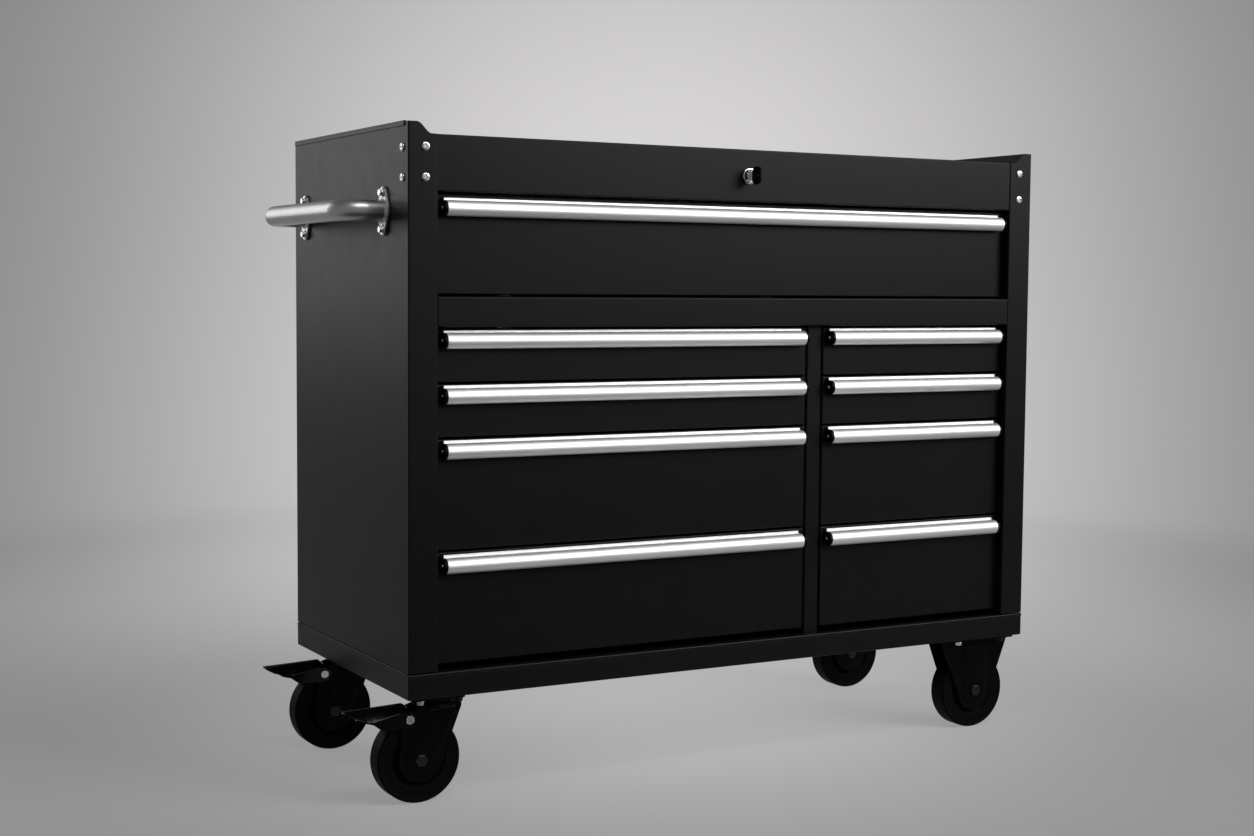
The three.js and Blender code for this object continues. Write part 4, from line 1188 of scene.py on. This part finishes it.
def stage():
    """A round pale studio cove: a floor whose rim curves up into a wall on every side."""
    floor_radius, cove, height = 3.5, 1.5, 4.6
    profile = [(0.0, 0.0), (floor_radius, 0.0)]
    profile += arc((floor_radius, cove), cove, -90, 0, 24)[1:]
    profile.append((floor_radius + cove, height))
    segments = 96
    bm = bmesh.new()
    rings = []
    for radius, z in profile[1:]:
        rings.append([bm.verts.new((x, y, z)) for x, y in circle((0, 0), radius, segments)])
    bm.faces.new(rings[0])
    for one, two in zip(rings, rings[1:]):
        skin(bm, two, one)
    mesh = bpy.data.meshes.new("studio_cove")
    bm.to_mesh(mesh)
    bm.free()
    mesh.shade_smooth()
    room = bpy.data.objects.new("studio_cove", mesh)
    bpy.context.scene.collection.objects.link(room)
    paint = surface("pale_studio_paint_with_painted_glow", grey(0.15, -0.01), grey(0.16, -0.01), (0.8, 0.9), blotch=0.8)
    shader = paint.node_tree.nodes["Principled BSDF"]
    shader.inputs["Specular IOR Level"].default_value = 0.1
    shader.inputs["Emission Color"].default_value = (1, 0.985, 0.98, 1)
    # The cove's paint glows: painted light, even and in pools.
    glow(paint.node_tree, shader, AMBIENT_GLOW, GLOWS)
    mesh.materials.append(paint)


def glow(tree, shader, ambient, pools):
    """Painted light: the cove's paint glows, to keep shadows soft, with an even part and pools that fade
    outwards.
    """
    total = None
    coords = tree.nodes.new("ShaderNodeTexCoord").outputs["Object"]
    for centre, radius, strength in pools:
        apart = tree.nodes.new("ShaderNodeVectorMath")
        apart.operation = "DISTANCE"
        apart.inputs[1].default_value = centre
        fade = tree.nodes.new("ShaderNodeMapRange")
        fade.interpolation_type = "SMOOTHSTEP"
        fade.inputs["From Min"].default_value = 0
        fade.inputs["From Max"].default_value = radius
        fade.inputs["To Min"].default_value = strength
        fade.inputs["To Max"].default_value = 0
        tree.links.new(coords, apart.inputs[0])
        tree.links.new(apart.outputs["Value"], fade.inputs["Value"])
        add = tree.nodes.new("ShaderNodeMath")
        add.inputs[1].default_value = ambient
        tree.links.new(fade.outputs["Result"], add.inputs[0])
        if total:
            tree.links.new(total, add.inputs[1])
        total = add.outputs["Value"]
    tree.links.new(total, shader.inputs["Emission Strength"])


def dark_card():
    """A black card on the floor before the view. Only reflections see it: it darkens the low fronts."""
    bm = bmesh.new()
    block(bm, -2.2, 2.2, -0.8, 0.8, 0.001, 0.004)
    mesh = bpy.data.meshes.new("dark_card")
    bm.to_mesh(mesh)
    bm.free()
    card = bpy.data.objects.new("dark_card", mesh)
    card.location = (0.05, -1.68, 0)
    card.rotation_euler.z = -math.radians(VIEW_YAW)
    card.visible_camera = False
    card.visible_diffuse = False
    card.visible_shadow = False
    bpy.context.scene.collection.objects.link(card)
    mesh.materials.append(surface("card_black", grey(0.004), grey(0.006), (0.7, 0.8)))


def aimed(name, data, place, target):
    lamp = bpy.data.objects.new(name, data)
    lamp.location = place
    lamp.rotation_mode = "QUATERNION"
    lamp.rotation_quaternion = (Vector(target) - Vector(place)).to_track_quat("-Z", "Y")
    lamp.visible_camera = False
    bpy.context.scene.collection.objects.link(lamp)


def softbox(name, place, target, size, radiance, spread=180):
    """A soft rectangular light of an even brightness. A spread below 180 degrees narrows its beam."""
    data = bpy.data.lights.new(name, "AREA")
    data.shape = "RECTANGLE"
    data.size, data.size_y = size
    data.spread = math.radians(spread)
    data.energy = radiance * math.pi * size[0] * size[1]
    aimed(name, data, place, target)


def lights():
    """Two softboxes before the chest, one behind its left side, and a faint even light."""
    world = bpy.data.worlds.new("studio")
    world.use_nodes = True
    world.node_tree.nodes["Background"].inputs["Color"].default_value = (1, 1, 1, 1)
    world.node_tree.nodes["Background"].inputs["Strength"].default_value = 0.11
    bpy.context.scene.world = world
    softbox("front_right", (2.3, -2.9, 2.35), (0, 0, 0.8), (2.4, 2.0), 1.5, 70)
    softbox("overhead", (-0.3, -1.9, 3.3), (0, -0.2, 0.6), (2.6, 1.0), 1.1, 80)
    softbox("back_left", (-2.0, 2.9, 1.6), (-0.6, 0, 0.5), (1.5, 2.05), 0.88, 120)


def camera():
    """The viewpoint: left of the front, a little over half the chest's height."""
    data = bpy.data.cameras.new("camera")
    data.lens = 53.05
    data.sensor_width = 36
    yaw, pitch, roll = (math.radians(a) for a in (VIEW_YAW, 4.024, 0.4255))
    forward = Vector((math.sin(yaw) * math.cos(pitch), math.cos(yaw) * math.cos(pitch), -math.sin(pitch)))
    right = Vector((math.cos(yaw), -math.sin(yaw), 0))
    up = right.cross(forward)
    tilted_right = right * math.cos(roll) + up * math.sin(roll)
    tilted_up = up * math.cos(roll) - right * math.sin(roll)
    cam = bpy.data.objects.new("camera", data)
    place = ORIGIN + Vector((-984.6, -2385.2, 582.3)) / 1000
    cam.matrix_world = Matrix(
        (
            (tilted_right.x, tilted_up.x, -forward.x, place.x),
            (tilted_right.y, tilted_up.y, -forward.y, place.y),
            (tilted_right.z, tilted_up.z, -forward.z, place.z),
            (0, 0, 0, 1),
        )
    )
    bpy.context.scene.collection.objects.link(cam)
    bpy.context.scene.camera = cam


# ------------------------------------------------------------------ build

camera()
stage()
dark_card()
lights()
cabinet_shell()
top_deck()
back_beads()
finish_cad_nodes()
for drawer_name in DRAWERS:
    drawer(drawer_name)
cabinet_screws()
lock_bezel()
lock_cylinder()
lock_key()
push_handle()
for swivel_place in ("front_left", "rear_left"):
    swivel_caster(swivel_place)
for rigid_place in ("front_right", "rear_right"):
    rigid_caster(rigid_place)

bpy.context.scene.view_settings.view_transform = "Standard"
